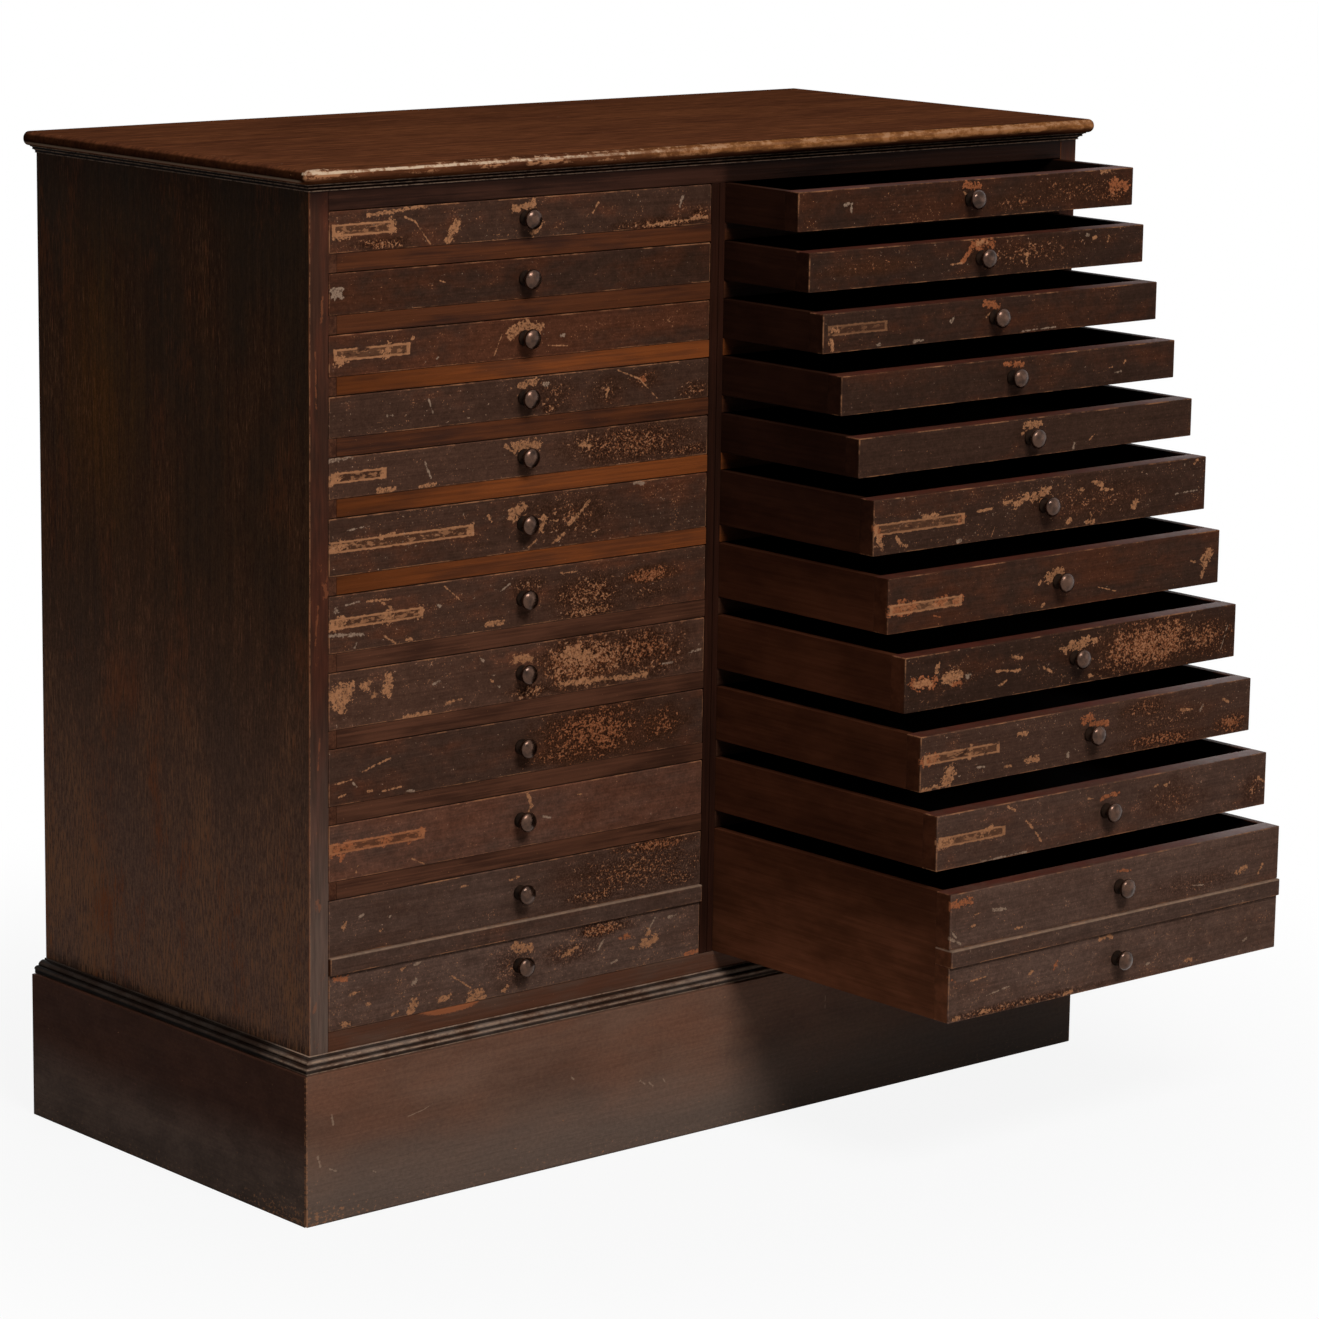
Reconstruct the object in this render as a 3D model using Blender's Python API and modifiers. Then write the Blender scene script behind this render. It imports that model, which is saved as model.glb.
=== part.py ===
"""Collectors cabinet with two banks of drawers on a moulded plinth.

A board carcass holds a glued front frame: top and bottom rails, a centre muntin and the drawer
rails between them. Drawers run on strips along the sides and the centre partition. The deep
drawer under each bank is faced to look like two. The top has a bullnosed edge over a bed
moulding, and the mitred plinth carries a reeded cap moulding.

X runs to the right, Y to the back and Z up, in metres. The origin is on the floor, under the
middle of the carcass.
"""
from math import cos, pi, radians, sin

import bmesh
import bpy
from mathutils import Matrix, Vector

# Carcass
BODY_WIDTH = 1.000
BODY_DEPTH = 0.450
SIDE_THICKNESS = 0.022
MUNTIN_WIDTH = 0.018
FRAME_DEPTH = 0.045
BACK_THICKNESS = 0.010
BACK_REBATE = 0.010
BOTTOM_THICKNESS = 0.018

# Front frame and drawer rows, from the top down
TOP_RAIL_HEIGHT = 0.0187
BOTTOM_RAIL_HEIGHT = 0.019
RAIL_HEIGHT = 0.0173
RUNNER_WIDTH = 0.0095
SHALLOW_OPENING = 0.040
DEEP_OPENING = 0.056
SHALLOW_ROWS = 5
DEEP_ROWS = 5

# Drawers
DRAWER_FRONT = 0.020
DRAWER_SIDE = 0.009
DRAWER_BACK = 0.009
DRAWER_BOTTOM = 0.005
BOTTOM_LIFT = 0.004
BACK_DROP = 0.004
FRONT_CHAMFER = 0.0008
BAND_PROUD = 0.0035

# The right bank stands open. The lowest drawer keeps this much of its length in the case, and the
# shares say how far each drawer comes out beside it, from the top one down.
LEAST_HOLD = 0.097
PULL_SHARES = (0.309, 0.360, 0.423, 0.504, 0.583, 0.649, 0.715, 0.792, 0.863, 0.937, 1.0)

# Turned knob: height of each station and its radius, from the face of the drawer outward
KNOB_REACH = 0.0175
KNOB_RADIUS = 0.0099
KNOB_SIDES = 16
KNOB_OFFSET = 0.0015
KNOB_STATION_SHARES = (0.0, 0.09, 0.17, 0.40, 0.52, 0.61, 0.71, 0.84, 0.95, 1.0)
KNOB_RADIUS_SHARES = (0.78, 0.78, 0.44, 0.44, 0.80, 0.97, 1.0, 0.88, 0.52, 0.0)

# Top
TOP_THICKNESS = 0.0140
TOP_OVERHANG = 0.015
TOP_ROUNDING = 0.0068
TOP_ROUND_STEPS = 4
BED_HEIGHT = 0.0075
BED_PROJECTION = 0.0075
BED_FOOT = 0.0018
BED_FILLET = 0.0008
BED_NIP = 0.0005
BED_COVE_SHARES = (0.55, 0.45)

# Plinth
PLINTH_HEIGHT = 0.149
PLINTH_PROJECTION = 0.0175
PLINTH_BOARD = 0.025
BEARER_THICKNESS = 0.040
CAP_HEIGHT = 0.014
CAP_SETBACK = 0.0033
CAP_BAND = 0.0042
CAP_FILLET_WIDTH = 0.0016
CAP_FILLET_HEIGHT = 0.0016
CAP_QUIRK = 0.0006
CAP_REED_SHARES = (0.60, 0.40)
CAP_SWELL_SHARE = 0.27
ARC_STEPS = 5

# Clearances
SEAT = 0.0003
DRAWER_RISE = 0.0009
DRAWER_SLACK = 0.0006
DRAWER_REAR = 0.0010
OVERRUN = 0.005

# Places worked out from the sizes above
HALF_WIDTH = BODY_WIDTH / 2
FRONT = -BODY_DEPTH / 2
BACK = BODY_DEPTH / 2
INNER_SIDE = HALF_WIDTH - SIDE_THICKNESS
INNER_BACK = BACK - BACK_THICKNESS
FRAME_BACK = FRONT + FRAME_DEPTH
HALF_MUNTIN = MUNTIN_WIDTH / 2
BAY_WIDTH = INNER_SIDE - HALF_MUNTIN
BAY_CENTRE = HALF_MUNTIN + BAY_WIDTH / 2
DOUBLE_OPENING = 2 * DEEP_OPENING + RAIL_HEIGHT
OPENINGS = [SHALLOW_OPENING] * SHALLOW_ROWS + [DEEP_OPENING] * DEEP_ROWS + [DOUBLE_OPENING]
CARCASS_BASE = PLINTH_HEIGHT + SEAT
FLOOR_LEVEL = PLINTH_HEIGHT + CAP_HEIGHT + BOTTOM_RAIL_HEIGHT
DRAWER_DEPTH = BODY_DEPTH - BACK_THICKNESS - DRAWER_REAR
DEEPEST_PULL = DRAWER_DEPTH - LEAST_HOLD


def opening_spans():
    """The low and high edge of each drawer opening, from the top row down."""
    spans = []
    low = FLOOR_LEVEL
    for height in reversed(OPENINGS):
        spans.insert(0, (low, low + height))
        low += height + RAIL_HEIGHT
    return spans


SPANS = opening_spans()
CEILING = SPANS[0][1]
BODY_TOP = CEILING + TOP_RAIL_HEIGHT
TOP_UNDERSIDE = BODY_TOP + BED_HEIGHT
CARCASS_TOP = TOP_UNDERSIDE - SEAT


def clear_scene():
    """Empties the scene."""
    for obj in list(bpy.data.objects):
        bpy.data.objects.remove(obj, do_unlink=True)
    for group in list(bpy.data.collections):
        bpy.data.collections.remove(group)


def make_collection(name):
    """A collection linked to the scene."""
    group = bpy.data.collections.new(name)
    bpy.context.scene.collection.children.link(group)
    return group


def make_material(name, colour, roughness, metallic=0.0):
    """A Principled material."""
    material = bpy.data.materials.new(name)
    material.use_nodes = True
    shader = material.node_tree.nodes["Principled BSDF"]
    shader.inputs["Base Color"].default_value = (*colour, 1.0)
    shader.inputs["Roughness"].default_value = roughness
    shader.inputs["Metallic"].default_value = metallic
    return material


def add_box(bm, low, high):
    """Adds a box between two corners."""
    low, high = Vector(low), Vector(high)
    matrix = Matrix.Translation((low + high) / 2) @ Matrix.Diagonal((*(high - low), 1.0))
    bmesh.ops.create_cube(bm, size=1.0, matrix=matrix)


def boxes_mesh(name, boxes):
    """A mesh of separate boxes, each given by two corners."""
    bm = bmesh.new()
    for low, high in boxes:
        add_box(bm, low, high)
    mesh = bpy.data.meshes.new(name)
    bm.to_mesh(mesh)
    bm.free()
    return mesh


def place(name, mesh, material, location=(0, 0, 0), parent=None):
    """An object of the cabinet that shows one mesh."""
    obj = bpy.data.objects.new(name, mesh)
    cabinet.objects.link(obj)
    if not mesh.materials:
        mesh.materials.append(material)
    obj.location = location
    obj.parent = parent
    return obj


def cut(obj, name, boxes):
    """Cuts a set of boxes out of an object, all given in the object's own frame."""
    cutter = bpy.data.objects.new(name, boxes_mesh(name, boxes))
    cutters.objects.link(cutter)
    cutter.location = obj.location
    cutter.hide_render = True
    cutter.display_type = "WIRE"
    modifier = obj.modifiers.new(name, "BOOLEAN")
    modifier.operation = "DIFFERENCE"
    modifier.solver = "EXACT"
    modifier.object = cutter
    return cutter


def finished_mesh(obj, name):
    """The mesh of an object with its modifiers applied, kept for copies. The object is removed."""
    bpy.context.view_layer.update()
    graph = bpy.context.evaluated_depsgraph_get()
    mesh = bpy.data.meshes.new_from_object(obj.evaluated_get(graph))
    mesh.name = name
    for modifier in obj.modifiers:
        if modifier.type == "BOOLEAN":
            bpy.data.objects.remove(modifier.object, do_unlink=True)
    bpy.data.objects.remove(obj, do_unlink=True)
    return mesh


def weigh_edges(bm, chosen):
    """Marks the edges for a Bevel modifier that is limited by weight."""
    layer = bm.edges.layers.float.new("bevel_weight_edge")
    for edge in bm.edges:
        if chosen(*(vert.co for vert in edge.verts)):
            edge[layer] = 1.0


def add_bevel(obj, width, segments):
    """Rounds or chamfers the edges that carry a bevel weight."""
    modifier = obj.modifiers.new("edges", "BEVEL")
    modifier.limit_method = "WEIGHT"
    modifier.width = width
    modifier.segments = segments


def build_side(name, sign):
    """A side board with its runners, seen from either side. Each runner's end shows in front."""
    def span_x(inner, outer):
        return (min(sign * inner, sign * outer), max(sign * inner, sign * outer))

    def box(inner, outer, y, z):
        (low_x, high_x) = span_x(inner, outer)
        return (low_x, y[0], z[0]), (high_x, y[1], z[1])

    runner_edge = INNER_SIDE - RUNNER_WIDTH
    whole = (FRONT, BACK)
    past = (FRONT - OVERRUN, BACK + OVERRUN)
    mesh = boxes_mesh(name, [box(runner_edge, HALF_WIDTH, whole, (CARCASS_BASE, CARCASS_TOP))])
    side = place(name, mesh, case_wood)
    bays = [(CARCASS_BASE - OVERRUN, SPANS[-1][1])] + SPANS[:-1]
    bays.append((CEILING + RAIL_HEIGHT, CARCASS_TOP + OVERRUN))
    cut(side, name + "_bays", [box(runner_edge - OVERRUN, INNER_SIDE, past, bay) for bay in bays])
    behind_rail = (FRONT - OVERRUN, FRAME_BACK + SEAT)
    at_back = (INNER_BACK, BACK + OVERRUN)
    cut(side, name + "_rebate", [
        box(runner_edge - OVERRUN, INNER_SIDE, behind_rail, (CEILING - SEAT, CARCASS_TOP)),
        box(runner_edge - OVERRUN, INNER_SIDE + BACK_REBATE, at_back,
            (CARCASS_BASE - OVERRUN, CARCASS_TOP + OVERRUN))])
    return side


def build_partition():
    """The board between the two banks, with runners on both faces."""
    edge = HALF_MUNTIN + RUNNER_WIDTH
    front = FRAME_BACK + SEAT
    rear = INNER_BACK - SEAT
    base = FLOOR_LEVEL + SEAT
    mesh = boxes_mesh("centre_partition", [((-edge, front, base), (edge, rear, CARCASS_TOP))])
    board = place("centre_partition", mesh, inner_wood)
    bays = [(base - OVERRUN, SPANS[-1][1])] + SPANS[:-1]
    bays.append((CEILING + RAIL_HEIGHT, CARCASS_TOP + OVERRUN))
    boxes = []
    for low, high in bays:
        boxes.append(((-edge - OVERRUN, front - OVERRUN, low), (-HALF_MUNTIN, rear + OVERRUN, high)))
        boxes.append(((HALF_MUNTIN, front - OVERRUN, low), (edge + OVERRUN, rear + OVERRUN, high)))
    cut(board, "centre_partition_bays", boxes)


def build_front_frame():
    """Top and bottom rails, muntin and drawer rails as one glued frame."""
    end = INNER_SIDE - SEAT
    rail_end = INNER_SIDE - RUNNER_WIDTH - SEAT
    mesh = boxes_mesh("front_frame", [((-end, FRONT, CARCASS_BASE), (end, FRAME_BACK, CARCASS_TOP))])
    frame = place("front_frame", mesh, front_wood)
    past_front, past_back = FRONT - OVERRUN, FRAME_BACK + OVERRUN
    windows = []
    for low, high in SPANS:
        windows.append(((-end - OVERRUN, past_front, low), (-HALF_MUNTIN, past_back, high)))
        windows.append(((HALF_MUNTIN, past_front, low), (end + OVERRUN, past_back, high)))
    cut(frame, "front_frame_windows", windows)
    cut(frame, "front_frame_rail_ends", [
        ((-end - OVERRUN, past_front, FLOOR_LEVEL), (-rail_end, past_back, CEILING)),
        ((rail_end, past_front, FLOOR_LEVEL), (end + OVERRUN, past_back, CEILING))])


def build_panels():
    """The back panel in its rebate and the board under the lowest drawers."""
    reach = INNER_SIDE + BACK_REBATE - SEAT
    low, high = (-reach, INNER_BACK + SEAT, CARCASS_BASE), (reach, BACK, CARCASS_TOP)
    place("back_panel", boxes_mesh("back_panel", [(low, high)]), inner_wood)
    low = (-INNER_SIDE + SEAT, FRAME_BACK + SEAT, FLOOR_LEVEL - BOTTOM_THICKNESS)
    high = (INNER_SIDE - SEAT, INNER_BACK - SEAT, FLOOR_LEVEL)
    place("bottom_board", boxes_mesh("bottom_board", [(low, high)]), inner_wood)


def build_top():
    """The top board, bullnosed at the front and both ends and square at the back."""
    low = (-HALF_WIDTH - TOP_OVERHANG, FRONT - TOP_OVERHANG, TOP_UNDERSIDE)
    high = (HALF_WIDTH + TOP_OVERHANG, BACK, TOP_UNDERSIDE + TOP_THICKNESS)
    bm = bmesh.new()
    add_box(bm, low, high)
    middle = (FRONT + BACK) / 2

    def rounded(start, end):
        return start.y < middle or end.y < middle

    weigh_edges(bm, rounded)
    mesh = bpy.data.meshes.new("top_board")
    bm.to_mesh(mesh)
    bm.free()
    top = place("top_board", mesh, top_wood)
    add_bevel(top, TOP_ROUNDING, TOP_ROUND_STEPS)


def arc(centre, radius, start, end, steps=ARC_STEPS):
    """Points along an arc, with angles in degrees from the outward direction."""
    angles = [radians(start + (end - start) * step / steps) for step in range(steps + 1)]
    return [(centre[0] + radius * cos(angle), centre[1] + radius * sin(angle)) for angle in angles]


def bed_profile():
    """The moulding under the top: coves that step out between fillets, as (distance out, height)."""
    height, reach = BED_HEIGHT - SEAT, BED_PROJECTION - BED_FOOT
    rise = height - BED_FILLET * (len(BED_COVE_SHARES) + 1)
    out, level = BED_FOOT, BED_FILLET
    points = [(SEAT, 0), (out, 0), (out, level)]
    for share in BED_COVE_SHARES:
        wide, tall = share * reach + BED_NIP, share * rise
        out += share * reach
        points += [(out + wide * x, level + tall * y) for x, y in arc((0, 0), 1.0, 180, 90)]
        level += tall + BED_FILLET
        points.append((out, level))
    return points + [(SEAT, height)]


def reed(start, end, swell):
    """Points of a reed that swells out between two places of a profile, seen from below upward."""
    middle, half = (start + end) / 2, (start - end) / 2
    outward = Vector((-half.y, half.x)).normalized() * swell
    return [tuple(middle + half * x + outward * y) for x, y in arc((0, 0), 1.0, 0, 180, 2 * ARC_STEPS)]


def cap_profile():
    """The plinth's cap: a band, then two reeds that slope up to a fillet against the body."""
    foot = Vector((PLINTH_PROJECTION - CAP_SETBACK, CAP_BAND))
    head = Vector((CAP_FILLET_WIDTH, CAP_HEIGHT - SEAT - CAP_FILLET_HEIGHT))
    slope = head - foot
    gap = slope.normalized() * CAP_QUIRK
    points = [(SEAT, 0), (foot.x - CAP_QUIRK, 0), (foot.x - CAP_QUIRK, CAP_BAND)]
    start = foot
    for share in reversed(CAP_REED_SHARES):
        end = start + slope * share - gap
        points += reed(start, end, CAP_SWELL_SHARE * (end - start).length)
        start = end + gap
    return points + [(CAP_FILLET_WIDTH, CAP_HEIGHT - SEAT), (SEAT, CAP_HEIGHT - SEAT)]


def corner_section(profile, level, sign, at_back, along=0.0, across=0.0):
    """The profile's points where a moulding ends at the back, or turns a front corner."""
    points = []
    for out, height in profile:
        x = sign * (HALF_WIDTH + out - across)
        y = BACK if at_back else FRONT - out + along
        points.append((x, y, level + height))
    return points


def lofted(name, sections, material):
    """A solid through a row of matching sections, closed at both ends."""
    bm = bmesh.new()
    rings = [[bm.verts.new(point) for point in section] for section in sections]
    for near, far in zip(rings, rings[1:]):
        for index, vert in enumerate(near):
            follower = (index + 1) % len(near)
            bm.faces.new((vert, near[follower], far[follower], far[index]))
    bm.faces.new(rings[0])
    bm.faces.new(rings[-1])
    bmesh.ops.recalc_face_normals(bm, faces=bm.faces)
    mesh = bpy.data.meshes.new(name)
    bm.to_mesh(mesh)
    bm.free()
    return place(name, mesh, material)


def round_three_sides(name, profile, level, material):
    """A moulding down the left side, across the front and up the right side, mitred."""
    sections = [
        corner_section(profile, level, -1, True),
        corner_section(profile, level, -1, False),
        corner_section(profile, level, 1, False),
        corner_section(profile, level, 1, True)]
    return lofted(name, sections, material)


def build_plinth():
    """Three mitred boards, a back rail and a bearer under the middle of the carcass."""
    outer, inner = PLINTH_PROJECTION, PLINTH_PROJECTION - PLINTH_BOARD
    board = [(inner, 0), (outer, 0), (outer, PLINTH_HEIGHT), (inner, PLINTH_HEIGHT)]
    lofted("plinth_front", [
        corner_section(board, 0, -1, False, across=SEAT),
        corner_section(board, 0, 1, False, across=SEAT)], plinth_wood)
    for name, sign in (("plinth_left", -1), ("plinth_right", 1)):
        lofted(name, [
            corner_section(board, 0, sign, False, along=SEAT),
            corner_section(board, 0, sign, True)], plinth_wood)
    reach = HALF_WIDTH + inner - SEAT
    rail_front = BACK - PLINTH_BOARD
    low, high = (-reach, rail_front, 0), (reach, BACK, PLINTH_HEIGHT)
    place("plinth_back", boxes_mesh("plinth_back", [(low, high)]), inner_wood)
    half = BEARER_THICKNESS / 2
    low = (-half, FRONT - inner + SEAT, 0)
    high = (half, rail_front - SEAT, FLOOR_LEVEL - BOTTOM_THICKNESS - SEAT)
    bearer = place("plinth_bearer", boxes_mesh("plinth_bearer", [(low, high)]), inner_wood)
    behind_frame = FRAME_BACK + SEAT
    over = high[2] + OVERRUN
    cut(bearer, "plinth_bearer_step", [
        ((-half - OVERRUN, low[1] - OVERRUN, PLINTH_HEIGHT), (half + OVERRUN, behind_frame, over))])


def front_height(row):
    """The height of a drawer, between the gaps under and over it."""
    return OPENINGS[row] - SEAT - DRAWER_RISE


def drawer_mesh(name, height, has_band):
    """A drawer from its front face backward: front, sides, raised bottom and lower back."""
    half = BAY_WIDTH / 2 - DRAWER_SLACK
    bm = bmesh.new()
    add_box(bm, (-half, 0, 0), (half, DRAWER_DEPTH, height))

    def on_face(start, end):
        return start.y == 0 and end.y == 0

    weigh_edges(bm, on_face)
    mesh = bpy.data.meshes.new(name)
    bm.to_mesh(mesh)
    bm.free()
    drawer = place(name, mesh, drawer_wood)
    add_bevel(drawer, FRONT_CHAMFER, 1)
    inside = half - DRAWER_SIDE
    back_face = DRAWER_DEPTH - DRAWER_BACK
    over = height + OVERRUN
    cut(drawer, name + "_inside", [
        ((-inside, DRAWER_FRONT, BOTTOM_LIFT + DRAWER_BOTTOM), (inside, back_face, over))])
    cut(drawer, name + "_back", [
        ((-inside, back_face - OVERRUN, height - BACK_DROP), (inside, DRAWER_DEPTH + OVERRUN, over))])
    cut(drawer, name + "_underside", [
        ((-inside, DRAWER_FRONT, -OVERRUN), (inside, DRAWER_DEPTH + OVERRUN, BOTTOM_LIFT))])
    if has_band:
        add_band(drawer, name + "_band", half)
    return finished_mesh(drawer, name)


def add_band(drawer, name, half):
    """The strip across a double front that stands proud where a rail would show."""
    low = (-half, -BAND_PROUD, DEEP_OPENING - SEAT)
    high = (half, DRAWER_FRONT / 2, DEEP_OPENING + RAIL_HEIGHT - SEAT)
    cut(drawer, name, [(low, high)])
    drawer.modifiers[name].operation = "UNION"


def knob_mesh():
    """A turned mushroom knob on a collar. It stands along Z before it is turned to the front."""
    bm = bmesh.new()
    stations = zip(KNOB_STATION_SHARES, KNOB_RADIUS_SHARES)
    profile = [(KNOB_RADIUS * wide, 0, KNOB_REACH * tall) for tall, wide in stations]
    profile.insert(0, (0, 0, 0))
    verts = [bm.verts.new(point) for point in reversed(profile)]
    for start, end in zip(verts, verts[1:]):
        bm.edges.new((start, end))
    mesh = bpy.data.meshes.new("knob_profile")
    bm.to_mesh(mesh)
    bm.free()
    blank = place("knob_blank", mesh, knob_metal)
    screw = blank.modifiers.new("turning", "SCREW")
    screw.axis = "Z"
    screw.angle = 2 * pi
    screw.steps = KNOB_SIDES
    screw.render_steps = KNOB_SIDES
    screw.use_merge_vertices = True
    screw.merge_threshold = 0.00001
    turned = finished_mesh(blank, "knob")
    turned.transform(Matrix.Rotation(radians(90), 4, "X"))
    turned.shade_smooth()
    turned.set_sharp_from_angle(angle=radians(40))
    return turned


def knob_heights(row):
    """The height of each knob on a drawer, from the drawer's lower edge."""
    if OPENINGS[row] != DOUBLE_OPENING:
        return [front_height(row) / 2]
    low = DEEP_OPENING / 2 - SEAT
    return [low + DEEP_OPENING + RAIL_HEIGHT, low]


def pull(row):
    """How far a drawer of the right bank stands open, read along the table of shares."""
    place_in_table = row / (len(OPENINGS) - 1) * (len(PULL_SHARES) - 1)
    before = min(int(place_in_table), len(PULL_SHARES) - 2)
    start, end = PULL_SHARES[before], PULL_SHARES[before + 1]
    return DEEPEST_PULL * (start + (end - start) * (place_in_table - before))


def build_drawers():
    """Both banks of drawers with their knobs. The left bank is shut, the right one stands open."""
    meshes = {
        SHALLOW_OPENING: drawer_mesh("shallow_drawer", front_height(0), False),
        DEEP_OPENING: drawer_mesh("deep_drawer", front_height(SHALLOW_ROWS), False),
        DOUBLE_OPENING: drawer_mesh("double_drawer", front_height(len(OPENINGS) - 1), True)}
    knob = knob_mesh()
    for bank, sign in (("left", -1), ("right", 1)):
        for row, (low, _) in enumerate(SPANS):
            label = f"{bank}_{row + 1:02d}"
            opened = pull(row) if bank == "right" else 0
            location = (sign * BAY_CENTRE, FRONT - opened, low + SEAT)
            drawer = place(f"drawer_{label}", meshes[OPENINGS[row]], drawer_wood, location)
            heights = knob_heights(row)
            for index, height in enumerate(heights):
                ending = "ab"[index] if len(heights) > 1 else ""
                place(f"knob_{label}{ending}", knob, knob_metal, (-KNOB_OFFSET, -SEAT, height), drawer)


clear_scene()
cabinet = make_collection("collectors_cabinet")
cutters = make_collection("cutters")
case_wood = make_material("dark_stained_case", (0.030, 0.017, 0.012), 0.5)
front_wood = make_material("worn_front_frame", (0.085, 0.040, 0.026), 0.5)
drawer_wood = make_material("worn_drawer_wood", (0.105, 0.062, 0.042), 0.5)
top_wood = make_material("red_brown_top", (0.200, 0.075, 0.035), 0.4)
plinth_wood = make_material("brown_plinth", (0.110, 0.060, 0.042), 0.5)
inner_wood = make_material("unfinished_inner_wood", (0.120, 0.065, 0.038), 0.7)
knob_metal = make_material("dark_bronze_knob", (0.060, 0.038, 0.028), 0.35)

build_side("left_side", -1)
build_side("right_side", 1)
build_partition()
build_front_frame()
build_panels()
build_top()
round_three_sides("top_moulding", bed_profile(), BODY_TOP, case_wood)
build_plinth()
round_three_sides("plinth_cap", cap_profile(), CARCASS_BASE, plinth_wood)
build_drawers()
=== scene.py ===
"""Dresses the collectors cabinet: its worn boards, drawers and knobs, and a plain studio round it."""

from math import cos, pi, radians, sin

import bmesh
import bpy
from bpy.props import FloatProperty, FloatVectorProperty, IntProperty, PointerProperty
from mathutils import Matrix, Vector


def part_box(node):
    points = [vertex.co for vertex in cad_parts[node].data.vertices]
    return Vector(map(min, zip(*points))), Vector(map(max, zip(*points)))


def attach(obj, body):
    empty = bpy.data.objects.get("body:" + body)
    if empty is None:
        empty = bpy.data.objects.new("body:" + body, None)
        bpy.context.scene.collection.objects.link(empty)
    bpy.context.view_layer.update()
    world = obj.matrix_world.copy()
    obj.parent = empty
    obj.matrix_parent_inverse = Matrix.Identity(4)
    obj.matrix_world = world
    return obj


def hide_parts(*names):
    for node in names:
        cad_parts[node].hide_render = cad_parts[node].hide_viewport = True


bl_info = {
    "name": "Collectors Cabinet",
    "version": (1, 0, 0),
    "blender": (4, 5, 0),
    "location": "3D View > Sidebar > Cabinet",
    "description": "Builds a worn collectors cabinet with two banks of drawers, and its studio",
    "category": "Object",
}

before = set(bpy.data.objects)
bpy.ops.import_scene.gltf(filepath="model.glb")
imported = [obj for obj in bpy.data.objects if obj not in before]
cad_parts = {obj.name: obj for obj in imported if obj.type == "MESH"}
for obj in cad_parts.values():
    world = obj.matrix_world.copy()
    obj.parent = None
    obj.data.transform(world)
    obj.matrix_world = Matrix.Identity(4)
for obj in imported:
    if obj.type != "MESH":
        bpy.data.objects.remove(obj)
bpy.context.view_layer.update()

BANKS = ("left", "right")
ROWS = sum(name.startswith("drawer_left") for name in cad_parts)
DOUBLE = f"{ROWS:02d}"
CASE_LOW, CASE_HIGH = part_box("front_frame")
FACE = CASE_LOW[1]

# Clearances in metres. A hair is the gap under a drawer, half the width of an open joint, and the slack in
# tests of place. The rise and the side gap are what a drawer leaves free above and beside it. The middle
# post is two strips whose joint is at MUNTIN_JOINT in X. The runners' ends show over RUNNER_END at the outer
# end of each rail, and points closer than MERGE are one.
HAIR = 0.0003
DRAWER_RISE = 0.0009
DRAWER_SIDE_GAP = 0.0006
MUNTIN_JOINT = 0.0014
RUNNER_END = 0.0095
MERGE = 0.00001

# The front frame's finishes by number, and which of them each drawer rail has, from the top one down.
ORANGE_RAIL, FADED_RAIL, BROWN_RAIL, MUNTIN, BOTTOM_RAIL, TOP_RAIL = range(6)
RAIL_TONES = (BROWN_RAIL, BROWN_RAIL, ORANGE_RAIL, BROWN_RAIL, ORANGE_RAIL, ORANGE_RAIL,
              FADED_RAIL, FADED_RAIL, FADED_RAIL, FADED_RAIL)

# A knob's outline from its foot to the tip of its head, as shares of its radius and of its reach, and the
# share of the reach where its neck's finish gives way to its head's.
KNOB_OUTLINE = ((0.0, 0.0), (0.74, 0.0), (0.78, 0.03), (0.78, 0.09), (0.72, 0.14), (0.52, 0.18),
                (0.44, 0.27), (0.44, 0.42), (0.58, 0.50), (0.86, 0.55), (0.97, 0.60), (1.0, 0.67),
                (0.98, 0.75), (0.93, 0.80), (0.84, 0.86), (0.62, 0.93), (0.32, 0.98), (0.0, 1.0))
KNOB_HEAD_FROM = 0.5

# Bands on the mouldings, in millimetres above the base: the middle and half the height. The bright bands are
# rubbed pale and carry a painted highlight; the dull ones hold dirt and painted shade in the hollows.
BED_RUBBED_AND_LIT, BED_DIRT_AND_SHADE = ((0.5, 0.3), (3.84, 0.3), (6.8, 0.2)), ((2.2, 0.8), (5.4, 0.8))
CAP_RUBBED_AND_LIT = ((0.6, 0.3), (5.2, 0.5), (9.8, 0.7), (13.5, 0.25))
CAP_DIRT_AND_SHADE = ((2.2, 1.0), (7.2, 0.4), (12.2, 0.45))

# The lamps: where each stands, where it points, how wide and high it is, and its power in watts.
LAMPS = {
    "key_softbox": ((-0.9, -3.3, 3.6), (0, -0.3, 0.45), (1.9, 1.2), 160),
    "front_fill": ((2.2, -2.6, 1.0), (0, -0.2, 0.5), (1.8, 1.4), 6),
    "back_fill": ((1.0, 2.8, 0.55), (0, 0.2, 0.5), (2.0, 0.8), 34),
    "side_fill": ((3.0, 1.0, 0.55), (0.4, 0.1, 0.5), (1.6, 0.8), 26),
}
FLOOR_REACH = 8.0

# The camera at the photograph's viewing angle: its place and its sight in metres, its lens and sensor
# in millimetres, and the degrees that it turns to the right, tilts down and rolls.
CAMERA_PLACE = (-3.0423, -3.6566, 1.4217)
CAMERA_LENS, CAMERA_SENSOR, CAMERA_SIGHT = 127.31, 36, 60
CAMERA_TURN, CAMERA_TILT, CAMERA_ROLL = 40.9146, 11.5420, 0.8542


def linear(red, green, blue):
    """A colour in linear light, from display values out of 255."""
    def value(channel):
        share = channel / 255
        return share / 12.92 if share <= 0.04045 else ((share + 0.055) / 1.055) ** 2.4
    return tuple(value(channel) for channel in (red, green, blue))


def colour(name, description, *display):
    """A colour property with a default given in display values."""
    return FloatVectorProperty(name=name, description=description, subtype="COLOR", size=3, min=0.0,
                               max=1.0, default=linear(*display))


def length(name, description, default):
    """A length property."""
    return FloatProperty(name=name, description=description, default=default, min=0.0, unit="LENGTH")


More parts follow.
